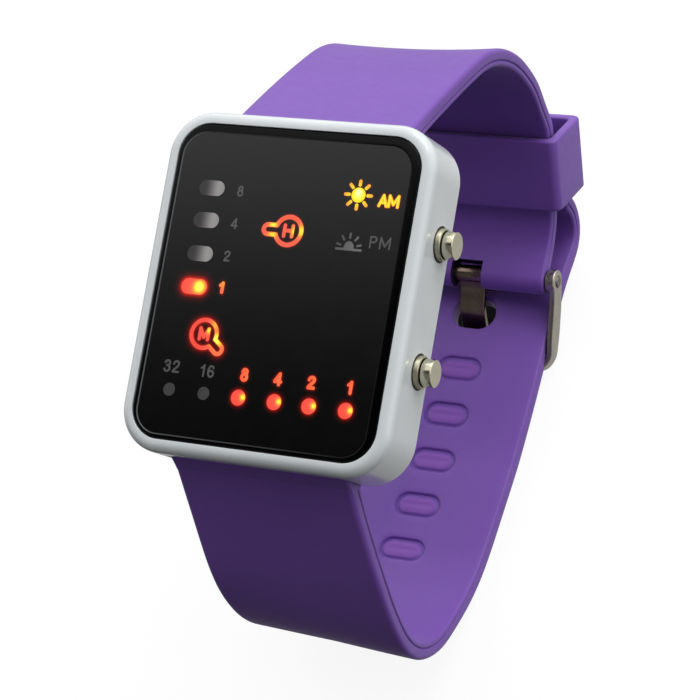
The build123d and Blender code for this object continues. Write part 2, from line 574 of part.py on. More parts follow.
# ---------------------------------------------------------------------------
# keeper loop
# ---------------------------------------------------------------------------
kp = Plane(origin=(0, KEEP_Y, KEEP_Z), x_dir=(1, 0, 0), z_dir=(0, KD[0], KD[1]))
keeper = extrude(kp * RectangleRounded(2 * KEEP_X, KEEP_D, 1.6), KEEP_L / 2, both=True)
keeper -= extrude(kp * RectangleRounded(2 * (KEEP_X - KEEP_WALL), KEEP_D - 2 * KEEP_WALL, 0.35), KEEP_L, both=True)
keeper_loop = keeper

# ---------------------------------------------------------------------------
# stand the watch up: turn by TILT, centre it and put its lowest point on z = 0
# ---------------------------------------------------------------------------
nodes = {
    "case_body": case_body, "display_window": display_window, "window_gasket": window_gasket,
    "legend_plate": legend_plate, "hour_light_windows": hour_light_windows,
    "minute_light_windows": minute_light_windows, "digit_light_windows": digit_light_windows,
    "symbol_light_windows": symbol_light_windows, "light_guide": light_guide, "leds": leds,
    "circuit_board": circuit_board, "controller_chip": controller_chip, "quartz_crystal": quartz_crystal,
    "battery": battery, "battery_clip": battery_clip, "movement_holder": movement_holder,
    "contact_springs": contact_springs, "case_back_gasket": case_back_gasket, "case_back": case_back,
    "case_back_screws": case_back_screws,
    "spring_bar_upper": spring_bar_upper, "spring_bar_lower": spring_bar_lower,
    "strap_upper": strap_upper, "strap_lower": strap_lower,
    "buckle_pin": buckle_pin, "buckle_frame": buckle_frame, "buckle_tongue": buckle_tongue,
    "keeper_loop": keeper_loop,
}
for name, b in buttons.items():
    nodes["button_collar_" + name] = b["collar"]
    nodes["button_cap_" + name] = b["cap"]
    nodes["button_seal_" + name] = b["seal"]
    nodes["button_clip_" + name] = b["clip"]
    nodes["button_spring_" + name] = b["spring"]

turn = Rot(TILT, 0, 0)
low, high = [1e9] * 3, [-1e9] * 3
posed = {}
for n, s in nodes.items():
    s = turn * s
    bb = s.bounding_box()
    for i, (a, b) in enumerate(((bb.min.X, bb.max.X), (bb.min.Y, bb.max.Y), (bb.min.Z, bb.max.Z))):
        low[i], high[i] = min(low[i], a), max(high[i], b)
    posed[n] = s
SHIFT = (-(low[0] + high[0]) / 2, -(low[1] + high[1]) / 2, -low[2])
for n, s in posed.items():
    s = Pos(*SHIFT) * s
    s.label = n
    export_step(s, f"parts/{n}.step")


def row_pt(x, y, z):
    """Display frame to the finished frame."""
    yy, zz = turned(y, z)
    return (round(x + SHIFT[0], 4), round(yy + SHIFT[1], 4), round(zz + SHIFT[2], 4))


print("shift", SHIFT, "size", [h - l for l, h in zip(low, high)])
print("lowest per node", {n: round(s.bounding_box().min.Z - low[2], 3) for n, s in posed.items() if s.bounding_box().min.Z - low[2] < 3})
print("pin", row_pt(0, PIN_Y, PIN_Z), "back face", row_pt(0, 0, -CASE_T - BACK_UP), "front", row_pt(0, 0, 0), "keeper", row_pt(0, KEEP_Y, KEEP_Z))
print("slots", slots)
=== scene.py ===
import bpy
import bmesh
import json
import math
import numpy as np
from mathutils import Matrix, Vector
from mathutils.geometry import delaunay_2d_cdt

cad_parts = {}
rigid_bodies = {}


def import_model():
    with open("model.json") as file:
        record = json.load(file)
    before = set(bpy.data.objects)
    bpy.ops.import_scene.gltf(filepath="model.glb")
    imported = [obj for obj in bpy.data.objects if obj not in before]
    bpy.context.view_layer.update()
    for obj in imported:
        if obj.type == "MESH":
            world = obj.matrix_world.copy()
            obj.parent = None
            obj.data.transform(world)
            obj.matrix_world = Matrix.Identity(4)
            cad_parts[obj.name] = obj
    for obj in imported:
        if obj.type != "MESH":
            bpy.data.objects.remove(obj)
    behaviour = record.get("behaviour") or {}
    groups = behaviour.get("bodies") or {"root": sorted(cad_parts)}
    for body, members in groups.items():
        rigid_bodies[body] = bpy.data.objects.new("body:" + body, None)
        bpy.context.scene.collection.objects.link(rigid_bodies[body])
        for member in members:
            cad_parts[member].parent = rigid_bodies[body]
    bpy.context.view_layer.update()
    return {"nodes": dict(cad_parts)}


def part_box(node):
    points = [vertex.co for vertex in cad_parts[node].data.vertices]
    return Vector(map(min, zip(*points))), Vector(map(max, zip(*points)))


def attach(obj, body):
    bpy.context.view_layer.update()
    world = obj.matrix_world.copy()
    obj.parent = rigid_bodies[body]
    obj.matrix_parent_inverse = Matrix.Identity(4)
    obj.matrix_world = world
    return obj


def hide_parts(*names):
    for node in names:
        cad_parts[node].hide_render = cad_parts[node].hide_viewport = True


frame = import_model()
nodes = frame["nodes"]
scene = bpy.context.scene

# ---------------------------------------------------------------------------
# the display frame (mm) and the shared frame (m)
# ---------------------------------------------------------------------------
TILT = math.radians(21.0)
CT, ST = math.cos(TILT), math.sin(TILT)
_g0, _g1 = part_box("window_gasket")
_mid = [(a + b) * 500 for a, b in zip(_g0, _g1)]
SH = np.array((_mid[0], _mid[1] - 1.7 * ST, _mid[2] + 1.7 * CT))


def row(p):
    p = np.asarray(p, float)
    x, y, z = p[..., 0], p[..., 1], p[..., 2]
    return np.stack([x + SH[0], y * CT - z * ST + SH[1], y * ST + z * CT + SH[2]], -1) / 1000


def turn(v):
    """A direction of the display frame in the shared frame."""
    return Vector((v[0], v[1] * CT - v[2] * ST, v[1] * ST + v[2] * CT))


# ---------------------------------------------------------------------------
# camera, at the photograph's angle
# ---------------------------------------------------------------------------
CAM_X = (0.8964, 0.1696, -0.4094)
CAM_Y = (-0.1005, 0.9776, 0.1849)
CAM_Z = (0.4316, -0.1246, 0.8934)
CAM_AT = (139.78, -43.35, 266.56)

cam_data = bpy.data.cameras.new("photo_camera")
cam = bpy.data.objects.new("photo_camera", cam_data)
scene.collection.objects.link(cam)
cam_data.sensor_width = 36.0
cam_data.lens = 2602.92 * 36.0 / 700.0
cam_data.clip_start, cam_data.clip_end = 0.01, 20.0
_cx, _cy, _cz = turn(CAM_X), turn(CAM_Y), turn(CAM_Z)
_m = Matrix(((_cx[0], _cy[0], _cz[0]), (_cx[1], _cy[1], _cz[1]), (_cx[2], _cy[2], _cz[2])))
cam.rotation_mode = "QUATERNION"
cam.rotation_quaternion = _m.to_quaternion()
cam.location = Vector(row(CAM_AT))
scene.camera = cam

# ---------------------------------------------------------------------------
# materials
# ---------------------------------------------------------------------------


def lin(c):
    c = c / 255.0
    return c / 12.92 if c <= 0.04045 else ((c + 0.055) / 1.055) ** 2.4


def srgb(r, g, b, a=1.0):
    return (lin(r), lin(g), lin(b), a)


class Mat:
    def __init__(self, name):
        self.m = bpy.data.materials.new(name)
        self.m.use_nodes = True
        self.nt = self.m.node_tree
        self.nt.nodes.clear()
        self.out = self.add("ShaderNodeOutputMaterial")
        self.b = self.add("ShaderNodeBsdfPrincipled")
        self.link(self.b.outputs[0], self.out.inputs["Surface"])
        self.coord = self.add("ShaderNodeTexCoord").outputs["Object"]

    def add(self, kind, **kw):
        n = self.nt.nodes.new(kind)
        for k, v in kw.items():
            setattr(n, k, v)
        return n

    def link(self, a, b):
        self.nt.links.new(a, b)

    def set(self, **kw):
        for k, v in kw.items():
            self.b.inputs[k.replace("_", " ")].default_value = v
        return self

    def noise(self, per_mm, detail=3.0, rough=0.55, stretch=None):
        n = self.add("ShaderNodeTexNoise")
        n.inputs["Scale"].default_value = per_mm * 1000.0
        n.inputs["Detail"].default_value = detail
        n.inputs["Roughness"].default_value = rough
        if stretch:
            mp = self.add("ShaderNodeMapping")
            mp.inputs["Scale"].default_value = stretch
            self.link(self.coord, mp.inputs["Vector"])
            self.link(mp.outputs[0], n.inputs["Vector"])
        else:
            self.link(self.coord, n.inputs["Vector"])
        return n.outputs["Fac"]

    def ramp(self, fac, stops):
        r = self.add("ShaderNodeValToRGB")
        e = r.color_ramp.elements
        e[0].position, e[0].color = stops[0]
        e[1].position, e[1].color = stops[-1]
        for pos, col in stops[1:-1]:
            x = e.new(pos)
            x.color = col
        self.link(fac, r.inputs["Fac"])
        return r.outputs["Color"]

    def span(self, fac, a, b, lo=0.3, hi=0.7):
        r = self.add("ShaderNodeMapRange")
        r.inputs["From Min"].default_value = lo
        r.inputs["From Max"].default_value = hi
        r.inputs["To Min"].default_value = a
        r.inputs["To Max"].default_value = b
        self.link(fac, r.inputs["Value"])
        return r.outputs["Result"]

    def colour(self, per_mm, c1, c2, detail=3.0):
        self.link(self.ramp(self.noise(per_mm, detail), [(0.3, c1), (0.7, c2)]), self.b.inputs["Base Color"])
        return self

    def rough(self, per_mm, a, b, detail=3.0, stretch=None):
        self.link(self.span(self.noise(per_mm, detail, stretch=stretch), a, b), self.b.inputs["Roughness"])
        return self

    def bump(self, fac, strength, depth_mm, edge_mm=0.0):
        bp = self.add("ShaderNodeBump")
        bp.inputs["Strength"].default_value = strength
        bp.inputs["Distance"].default_value = depth_mm / 1000.0
        self.link(fac, bp.inputs["Height"])
        if edge_mm:
            bv = self.add("ShaderNodeBevel", samples=6)
            bv.inputs["Radius"].default_value = edge_mm / 1000.0
            self.link(bv.outputs[0], bp.inputs["Normal"])
        self.link(bp.outputs[0], self.b.inputs["Normal"])
        return self

    def paint_crease_shade(self, reach_mm, deepest):
        """Painted shade: colour gets deeper where the surface is close to another, down to a share of itself."""
        ao = self.add("ShaderNodeAmbientOcclusion", samples=6)
        ao.inputs["Distance"].default_value = reach_mm / 1000.0
        k = self.span(ao.outputs["AO"], deepest, 1.0, 0.05, 0.6)
        mul = self.add("ShaderNodeVectorMath", operation="SCALE")
        base = self.b.inputs["Base Color"]
        self.link(base.links[0].from_socket, mul.inputs[0])
        self.link(k, mul.inputs["Scale"])
        self.link(mul.outputs[0], base)
        return self


def silicone(name, c1, c2, sheen=0.3):
    m = Mat(name).colour(0.09, c1, c2, 4.0).rough(0.8, 0.46, 0.56)
    m.set(**{"Specular IOR Level": 0.5, "Sheen Weight": sheen, "Sheen Roughness": 0.45})
    m.b.inputs["Sheen Tint"].default_value = srgb(214, 205, 240)
    m.bump(m.noise(9.0, 2.0), 0.22, 0.012)
    # painted shade in the silicone's narrow gaps
    return m.paint_crease_shade(6.0, 0.12)


strap_mat = silicone("strap_silicone", srgb(117, 74, 173), srgb(123, 79, 179))
# plugs: a brighter, more magenta silicone, painted light shining through the thin web
plug_painted_light_mat = silicone("strap_plug_painted_light", srgb(130, 74, 180), srgb(136, 79, 184), 0.15)
keeper_mat = silicone("keeper_silicone", srgb(118, 76, 173), srgb(124, 81, 179))

white = Mat("case_white").colour(0.15, srgb(220, 226, 229), srgb(226, 231, 233))
white.rough(0.5, 0.2, 0.27).set(**{"Coat Weight": 0.5, "Coat Roughness": 0.06, "Specular IOR Level": 0.5})
white.bump(white.noise(1.4, 2.0), 0.08, 0.01, 0.18)

glass_edge = Mat("window_black").colour(0.4, srgb(3, 3, 4), srgb(5, 5, 6))
glass_edge.rough(0.6, 0.03, 0.06).set(**{"Specular IOR Level": 0.12})

panel = Mat("window_panel").colour(0.2, srgb(3, 3, 3), srgb(4, 4, 4))
panel.rough(0.4, 0.12, 0.135).set(**{"Specular IOR Level": 0.62})
_at = panel.add("ShaderNodeAttribute", attribute_name="glow")
panel.link(panel.ramp(_at.outputs["Fac"], [(0.0, (0, 0, 0, 1)), (0.25, (0.055, 0.0015, 0.001, 1)),
                                           (0.6, (0.33, 0.006, 0.002, 1)), (1.0, (0.9, 0.03, 0.01, 1))]),
           panel.b.inputs["Emission Color"])
panel.set(**{"Emission Strength": 1.0})

# hairline step: its colour lightens towards the left edge of the window, a painted highlight
groove = Mat("window_line_painted_highlight")
_at = groove.add("ShaderNodeAttribute", attribute_name="edge")
groove.link(groove.ramp(_at.outputs["Fac"], [(0.0, srgb(6, 6, 7)), (1.0, srgb(92, 95, 98))]), groove.b.inputs["Base Color"])
groove.rough(0.5, 0.36, 0.46).set(**{"Specular IOR Level": 0.1})


def lit(name, stops, strength=1.0):
    m = Mat(name)
    at = m.add("ShaderNodeAttribute", attribute_name="glow_and_painted_shade")
    col = m.ramp(at.outputs["Fac"], stops)
    m.link(col, m.b.inputs["Emission Color"])
    m.link(m.ramp(m.noise(1.0), [(0.3, srgb(80, 20, 14)), (0.7, srgb(96, 26, 16))]), m.b.inputs["Base Color"])
    m.set(**{"Emission Strength": strength, "Roughness": 0.35})
    return m


red_lit = lit("lit_red", [(0.0, srgb(243, 62, 52)), (0.35, srgb(255, 96, 70)), (0.6, srgb(255, 140, 60)),
                          (0.85, srgb(255, 222, 40)), (1.0, srgb(255, 250, 90))])
digit_lit = lit("lit_digit", [(0.0, srgb(255, 74, 50)), (0.5, srgb(255, 120, 60)), (1.0, srgb(255, 200, 60))])
sun_lit = lit("lit_yellow", [(0.0, srgb(255, 140, 40)), (0.4, srgb(255, 196, 44)), (0.7, srgb(255, 246, 24)),
                             (1.0, srgb(255, 255, 190))])


def unlit(name, dark, bright):
    # base colour from dark to bright along the mark's value; where it changes across a mark it is painted shading
    m = Mat(name)
    at = m.add("ShaderNodeAttribute", attribute_name="glow_and_painted_shade")
    m.link(m.ramp(at.outputs["Fac"], [(0.0, dark), (1.0, bright)]), m.b.inputs["Base Color"])
    m.rough(1.2, 0.3, 0.42).set(**{"Specular IOR Level": 0.4})
    return m


pill_unlit = unlit("unlit_pill", srgb(62, 60, 62), srgb(176, 172, 172))
dot_unlit = unlit("unlit_dot", srgb(62, 62, 62), srgb(70, 70, 70))
mark_unlit = unlit("unlit_mark", srgb(78, 78, 78), srgb(132, 132, 132))


def metal(name, c1, c2, r0, r1, scale=2.0, edge=0.12, brushed=None, wear=0.3):
    m = Mat(name).colour(scale * 0.3, c1, c2).rough(scale, r0, r1, stretch=brushed)
    m.set(Metallic=1.0)
    m.bump(m.noise(scale * 3, 2.0, stretch=brushed), wear, 0.01, edge)
    return m


nickel = metal("button_nickel", srgb(200, 196, 172), srgb(210, 206, 184), 0.14, 0.26, 2.2, edge=0.0)
collar_metal = metal("collar_nickel", srgb(176, 173, 148), srgb(194, 190, 166), 0.28, 0.48, 3.0, edge=0.0, wear=0.8)
buckle_metal = metal("buckle_steel", srgb(178, 173, 160), srgb(194, 189, 176), 0.24, 0.36, 1.6)
tongue_metal = metal("tongue_steel", srgb(132, 116, 102), srgb(146, 130, 116), 0.22, 0.32, 1.6)
# painted shade in the gaps round the tongue and the buckle frame
tongue_metal.paint_crease_shade(3.0, 0.25)
buckle_metal.paint_crease_shade(5.0, 0.2)
pin_metal = metal("pin_steel", srgb(120, 117, 110), srgb(138, 134, 126), 0.32, 0.46, 1.6)
steel = metal("back_steel", srgb(150, 151, 151), srgb(164, 165, 165), 0.26, 0.38, 1.4, brushed=(1.0, 9.0, 9.0))
screw_metal = metal("screw_steel", srgb(178, 178, 176), srgb(196, 196, 194), 0.2, 0.3, 2.0)
spring_metal = metal("spring_steel", srgb(170, 168, 164), srgb(186, 184, 180), 0.25, 0.35, 2.0, edge=0.03)
battery_metal = metal("battery_steel", srgb(200, 200, 202), srgb(212, 212, 214), 0.18, 0.28, 0.8)
crystal_metal = metal("crystal_can", srgb(196, 196, 192), srgb(208, 208, 204), 0.15, 0.24, 1.5)

rubber = Mat("gasket_black").colour(0.8, srgb(18, 18, 19), srgb(26, 26, 27)).rough(1.0, 0.55, 0.7)
rubber.bump(rubber.noise(6.0, 2.0), 0.2, 0.01)
legend = Mat("legend_black").colour(0.8, srgb(10, 10, 11), srgb(16, 16, 17)).rough(1.0, 0.5, 0.62)
amber = Mat("light_window").colour(0.8, srgb(196, 186, 176), srgb(214, 204, 196)).rough(1.0, 0.35, 0.5)
guide_mat = Mat("guide_white").colour(0.5, srgb(226, 226, 222), srgb(236, 236, 232)).rough(1.0, 0.4, 0.5)
led_mat = Mat("led_body").colour(1.5, srgb(228, 220, 180), srgb(240, 234, 200)).rough(1.0, 0.3, 0.4)
board = Mat("board_green").colour(1.2, srgb(14, 74, 42), srgb(24, 96, 56)).rough(1.0, 0.35, 0.5)
chip_mat = Mat("chip_black").colour(2.0, srgb(22, 22, 24), srgb(34, 34, 36)).rough(2.0, 0.5, 0.6)
holder_mat = Mat("holder_grey").colour(0.6, srgb(92, 94, 98), srgb(104, 106, 110)).rough(1.0, 0.45, 0.55)

node_mats = {
    "case_body": white, "display_window": glass_edge, "window_gasket": rubber, "legend_plate": legend,
    "hour_light_windows": amber, "minute_light_windows": amber, "digit_light_windows": amber,
    "symbol_light_windows": amber, "light_guide": guide_mat, "leds": led_mat, "circuit_board": board,
    "controller_chip": chip_mat, "quartz_crystal": crystal_metal, "battery": battery_metal,
    "battery_clip": spring_metal, "movement_holder": holder_mat, "contact_springs": spring_metal,
    "case_back_gasket": rubber, "case_back": steel, "case_back_screws": screw_metal,
    "spring_bar_upper": spring_metal, "spring_bar_lower": spring_metal, "strap_upper": strap_mat,
    "strap_lower": strap_mat, "buckle_pin": pin_metal, "buckle_frame": buckle_metal,
    "buckle_tongue": tongue_metal, "keeper_loop": keeper_mat,
}
for _w in ("upper", "lower"):
    node_mats["button_collar_" + _w] = collar_metal
    node_mats["button_cap_" + _w] = nickel
    node_mats["button_seal_" + _w] = rubber
    node_mats["button_clip_" + _w] = spring_metal
    node_mats["button_spring_" + _w] = spring_metal
for _n, _o in nodes.items():
    if _n in node_mats:
        if not _o.material_slots:
            _o.data.materials.append(node_mats[_n].m)
        for _s in _o.material_slots:
            _s.material = node_mats[_n].m

# ---------------------------------------------------------------------------
# mesh helpers
# ---------------------------------------------------------------------------


def finish_mesh(me, angle=32.0, merge=2e-7):
    bm = bmesh.new()
    bm.from_mesh(me)
    if merge:
        bmesh.ops.remove_doubles(bm, verts=bm.verts, dist=merge)
    bmesh.ops.recalc_face_normals(bm, faces=bm.faces)
    lim = math.radians(angle)
    for f in bm.faces:
        f.smooth = True
    for e in bm.edges:
        e.smooth = not (len(e.link_faces) == 2 and e.calc_face_angle(0.0) > lim)
    bm.to_mesh(me)
    bm.free()
    me.update()


def new_object(name, me, body, replaces=()):
    ob = bpy.data.objects.new(name, me)
    scene.collection.objects.link(ob)
    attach(ob, body)
    if replaces:
        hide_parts(*replaces)
    return ob


def raw_mesh(name, verts, faces, ids=None):
    me = bpy.data.meshes.new(name)
    me.from_pydata([tuple(v) for v in row(np.array(verts))], [], [tuple(int(i) for i in f) for f in faces])
    if ids is not None:
        me.polygons.foreach_set("material_index", [int(i) for i in ids])
    me.validate()
    return me


def unit(a):
    a = np.asarray(a, float)
    return a / np.linalg.norm(a)


def clamped(pts, t0, t1):
    """Cubic spline through points with unit end directions: a function of chord length."""
    p = np.array(pts, float)
    h = np.linalg.norm(np.diff(p, axis=0), axis=1)
    t = np.concatenate([[0], np.cumsum(h)])
    n = len(p)
    a = np.zeros((n, n))
    r = np.zeros((n, 2))
    a[0, 0] = a[-1, -1] = 1
    r[0], r[-1] = unit(t0), unit(t1)
    for i in range(1, n - 1):
        a[i, i - 1], a[i, i], a[i, i + 1] = h[i], 2 * (h[i - 1] + h[i]), h[i - 1]
        r[i] = 3 * (h[i] * (p[i] - p[i - 1]) / h[i - 1] + h[i - 1] * (p[i + 1] - p[i]) / h[i])
    d = np.linalg.solve(a, r)
    out = []
    for i in range(n - 1):
        k = max(int(h[i] / 0.05), 4)
        for j in range(k):
            u = j / k
            out.append((2 * u ** 3 - 3 * u ** 2 + 1) * p[i] + (u ** 3 - 2 * u ** 2 + u) * h[i] * d[i]
                       + (-2 * u ** 3 + 3 * u ** 2) * p[i + 1] + (u ** 3 - u ** 2) * h[i] * d[i + 1])
    out.append(p[-1])
    return np.array(out)


def straight(a, b):
    k = max(int(np.linalg.norm(np.subtract(b, a)) / 0.05), 2)
    return np.array([np.add(a, np.subtract(b, a) * i / k) for i in range(k + 1)])


class Run:
    """A strap's middle line in the y-z plane, by length."""

    def __init__(self, chunks):
        pts = [chunks[0]]
        for c in chunks[1:]:
            pts.append(c[1:])
        self.p = np.concatenate(pts)
        seg = np.linalg.norm(np.diff(self.p, axis=0), axis=1)
        self.s = np.concatenate([[0], np.cumsum(seg)])
        g = np.gradient(self.p, axis=0)
        self.d = g / np.linalg.norm(g, axis=1)[:, None]
        self.len = self.s[-1]

    def at(self, s):
        s = np.asarray(s, float)
        y, z = np.interp(s, self.s, self.p[:, 0]), np.interp(s, self.s, self.p[:, 1])
        dy, dz = np.interp(s, self.s, self.d[:, 0]), np.interp(s, self.s, self.d[:, 1])
        n = np.hypot(dy, dz)
        return y, z, dy / n, dz / n

    def near(self, y, z):
        return float(self.s[np.argmin((self.p[:, 0] - y) ** 2 + (self.p[:, 1] - z) ** 2)])


# ---------------------------------------------------------------------------
# strap
# ---------------------------------------------------------------------------
T = 2.3
KEEP_Y, KEEP_Z, KEEP_ANG, KEEP_L, KEEP_D, KEEP_X = 29.5, -52.4, 37.0, 10.1, 9.8, 13.05
_ka = math.radians(KEEP_ANG)
KD = (-math.cos(_ka), -math.sin(_ka))
KN = (math.sin(_ka), -math.cos(_ka))
RUN_TOP, RUN_LOW = KEEP_L / 2 + 0.3, KEEP_L / 2 + 1.1
PIN_Y, PIN_Z = 14.0, -56.1


def keep_pt(u, n):
    return (KEEP_Y + KD[0] * u + KN[0] * n, KEEP_Z + KD[1] * u + KN[1] * n)


UP_N, TAIL_N = -2.4, 2.05
_ta = math.radians(KEEP_ANG + 8)
TD = (-math.cos(_ta), -math.sin(_ta))
tail_exit = keep_pt(KEEP_L / 2, TAIL_N)
tl_k2 = (tail_exit[0] + TD[0] * 1.25, tail_exit[1] + TD[1] * 1.25)
tl_k1 = (tail_exit[0] - TD[0] * 7.0, tail_exit[1] - TD[1] * 7.0)
FD, FU = (CT, -ST), (ST, CT)


def table_pt(s, h):
    base = -56.0 + h
    return (FU[0] * base + FD[0] * s, FU[1] * base + FD[1] * s)


up_k1, up_k2 = keep_pt(-RUN_TOP, UP_N), keep_pt(RUN_LOW, UP_N)
lo_f1, lo_f2 = table_pt(0.3, T / 2), table_pt(7.3, T / 2)
upper_pts = [(21.1, -6.3), (24.0, -9.55), (28.1, -14.1), (32.1, -18.8), (35.0, -23.1), (36.4, -27.2),
             (36.9, -31.7), (36.6, -35.8), (35.85, -39.5), (34.75, -42.3), (33.7, -44.9), up_k1]
lower_pts = [(-20.9, -5.85), (-25.4, -11.1), (-29.4, -15.8), (-32.3, -19.5), (-35.2, -23.9), (-37.2, -28.3),
             (-37.9, -32.3), (-37.45, -36.1), (-36.1, -39.3), (-33.9, -42.0), (-31.0, -44.9), (-27.6, -47.5), lo_f1]
back_pts = [lo_f2, (-7.4, -55.5), (-2.0, -56.95), (3.0, -58.25), (8.0, -59.55), (12.5, -60.8), (16.2, -62.0),
            (19.0, -63.2), (21.5, -63.7), (23.5, -62.85), (24.7, -61.3), (25.3, -59.75), tl_k2]
upper_run = Run([clamped(upper_pts, (0.667, -0.745), KD), straight(up_k1, up_k2),
                 clamped([up_k2, (20.4, -55.35), (17.6, -55.68), (PIN_Y + 0.05, PIN_Z + 0.7)], KD, (-1.0, 0.0))])
lower_run = Run([clamped(lower_pts, (-0.65, -0.76), FD), straight(lo_f1, lo_f2),
                 clamped(back_pts, FD, (-TD[0], -TD[1])), straight(tl_k2, tl_k1)])


def side_profile(h):
    """(inset from the strap's side, n) down the side: soft outer edge, parting line, inner lip."""
    r = 0.62
    pts = [(r - r * math.sin(a), h - r + r * math.cos(a)) for a in np.radians([0, 12, 26, 42, 58, 74, 90])]
    pts += [(0.0, 0.3), (0.0, 0.05), (0.0, -0.12), (0.03, -0.22), (0.12, -0.29), (0.2, -0.33), (0.23, -0.38), (0.2, -0.43),
            (0.12, -0.47), (0.05, -0.53), (0.03, -0.62), (0.03, -0.78), (0.07, -0.92), (0.16, -1.04), (0.28, -1.12), (0.42, -h)]
    return pts


PROFILE = side_profile(T / 2)
IN_OUTER, IN_INNER = PROFILE[0][0], PROFILE[-1][0]


def smooth01(a, b, x):
    t = np.clip((np.asarray(x, float) - a) / (b - a), 0, 1)
    return t * t * (3 - 2 * t)


class Strap:
    def __init__(self, run, width, side, warp, drift):
        self.run, self.width, self.side, self.warp, self.drift = run, width, side, warp, drift
        self.v, self.f, self.ids = [], [], []
        self.index = {}

    def place(self, s, x, n):
        """Vertex numbers for points along the strap, across it and out of it."""
        s, x, n = np.broadcast_arrays(np.asarray(s, float), np.asarray(x, float), np.asarray(n, float))
        y, z, dy, dz = self.run.at(s)
        oy, oz = (dz, -dy) if self.side > 0 else (-dz, dy)
        w = self.width(s)
        m = n + self.warp(s, x / w)
        pts = np.stack([x + self.drift(s, x / w), y + oy * m, z + oz * m], -1).reshape(-1, 3)
        first = len(self.v)
        self.v.extend(pts.tolist())
        return np.arange(first, first + len(pts)).reshape(s.shape)

    def quads(self, grid, mat=0):
        for i in range(grid.shape[0] - 1):
            for j in range(grid.shape[1] - 1):
                self.f.append((grid[i, j], grid[i, j + 1], grid[i + 1, j + 1], grid[i + 1, j]))
                self.ids.append(mat)

    def sides(self, st):
        for sx in (-1, 1):
            w = self.width(st)
            cols = [self.place(st, sx * (w - ins), np.full_like(st, n)) for ins, n in PROFILE]
            self.quads(np.stack(cols, 1))

    def caps(self, st):
        for s in (st[0], st[-1]):
            w = float(self.width(s))
            loop = [(w - ins, n) for ins, n in PROFILE] + [(-(w - ins), n) for ins, n in PROFILE[::-1]]
            ids = self.place(np.full(len(loop), s), [q[0] for q in loop], [q[1] for q in loop])
            self.f.append(tuple(ids))
            self.ids.append(0)

    def flat(self, st, n, inset, holes, cols=18):
        """The outer or inner face, with holes cut for the slots."""
        w = self.width(st) - inset
        pts, edges = [], []
        for sgn in (-1, 1):
            base = len(pts)
            pts += [(s, sgn * x) for s, x in zip(st, w)]
            edges += [(base + i, base + i + 1) for i in range(len(st) - 1)]
        k = len(st)
        edges += [(0, k), (k - 1, 2 * k - 1)]
        rings = []
        for c, hw, hh in holes:
            ring = stadium(c, hw, hh)
            rings.append((c, hw, hh))
            base = len(pts)
            pts += ring
            edges += [(base + i, base + (i + 1) % len(ring)) for i in range(len(ring))]
        for i, s in enumerate(st[1:-1]):
            for j in range(1, cols):
                x = -w[i + 1] + 2 * w[i + 1] * j / cols
                if all(in_stadium(s, x, c, hw, hh) > 0.25 for c, hw, hh in rings):
                    pts.append((s, x))
        vs, _, fs, *_r = delaunay_2d_cdt([Vector(p) for p in pts], edges, [], 0, 1e-6)
        vs = np.array([tuple(v) for v in vs])
        wi = np.interp(vs[:, 0], st, w)
        ids = self.place(vs[:, 0], vs[:, 1], np.full(len(vs), n))
        for f in fs:
            c = vs[list(f)].mean(0)
            if any(in_stadium(c[0], c[1], q, hw, hh) < 0 for q, hw, hh in rings):
                continue
            if abs(c[1]) > np.interp(c[0], st, w) + 1e-9:
                continue
            self.f.append(tuple(ids[list(f)]))
            self.ids.append(0)

    def wall(self, c, loops, mat=0):
        """A skin over stacked stadium loops (half length, half height, n)."""
        rows = []
        for hw, hh, n in loops:
            ring = np.array(stadium(c, hw, hh))
            rows.append(self.place(ring[:, 0], ring[:, 1], np.full(len(ring), n)))
        for a, b in zip(rows, rows[1:]):
            k = len(a)
            for i in range(k):
                j = (i + 1) % k
                self.f.append((a[i], a[j], b[j], b[i]))
                self.ids.append(mat)
        return rows

    def plug(self, c, hw, hh, rise, mat):
        """Face inside a stadium, rise gives n by (along, across)."""
        ring = stadium(c, hw, hh)
        pts = list(ring)
        edges = [(i, (i + 1) % len(ring)) for i in range(len(ring))]
        for s in np.arange(c - hh, c + hh, 0.22):
            for x in np.arange(-hw, hw, 0.3):
                if in_stadium(s, x, c, hw, hh) < -0.14:
                    pts.append((s, x))
        vs, _, fs, *_r = delaunay_2d_cdt([Vector(p) for p in pts], edges, [], 0, 1e-6)
        vs = np.array([tuple(v) for v in vs])
        edge = -np.array([in_stadium(s, x, c, hw, hh) for s, x in vs])
        ids = self.place(vs[:, 0], vs[:, 1], rise(vs[:, 0] - c, vs[:, 1], np.clip(edge, 0, None)))
        for f in fs:
            m = vs[list(f)].mean(0)
            if in_stadium(m[0], m[1], c, hw, hh) < 0:
                self.f.append(tuple(ids[list(f)]))
                self.ids.append(mat)


def stadium(c, hw, hh, k=14):
    """Outline of a slot across the strap: half length hw across, half height hh along."""
    e = hw - hh
    out = []
    for i in range(k + 1):
        a = -math.pi / 2 + math.pi * i / k
        out.append((c + hh * math.sin(a), e + hh * math.cos(a)))
    for i in range(k + 1):
        a = math.pi / 2 + math.pi * i / k
        out.append((c + hh * math.sin(a), -e + hh * math.cos(a)))
    m = []
    for i, p in enumerate(out):             # fill the straight sides
        q = out[(i + 1) % len(out)]
        m.append(p)
        d = math.hypot(q[0] - p[0], q[1] - p[1])
        if d > 0.6:
            r = int(d / 0.45)
            m += [(p[0] + (q[0] - p[0]) * t / r, p[1] + (q[1] - p[1]) * t / r) for t in range(1, r)]
    return m


def in_stadium(s, x, c, hw, hh):
    """Distance to the slot's outline, negative inside."""
    e = hw - hh
    dx = max(abs(x) - e, 0.0)
    return math.hypot(s - c, dx) - hh


# lower strap: slots, thin grooves round the plugs of the ones not in use
SLOT = (3.1, 1.65)
slot_at = [(13.926, -61.23), (0.547, -57.616), (-6.151, -55.839), (-12.785, -53.844), (-19.255, -51.361), (-25.631, -48.658)]
tongue_slot = (8.132, -59.585)


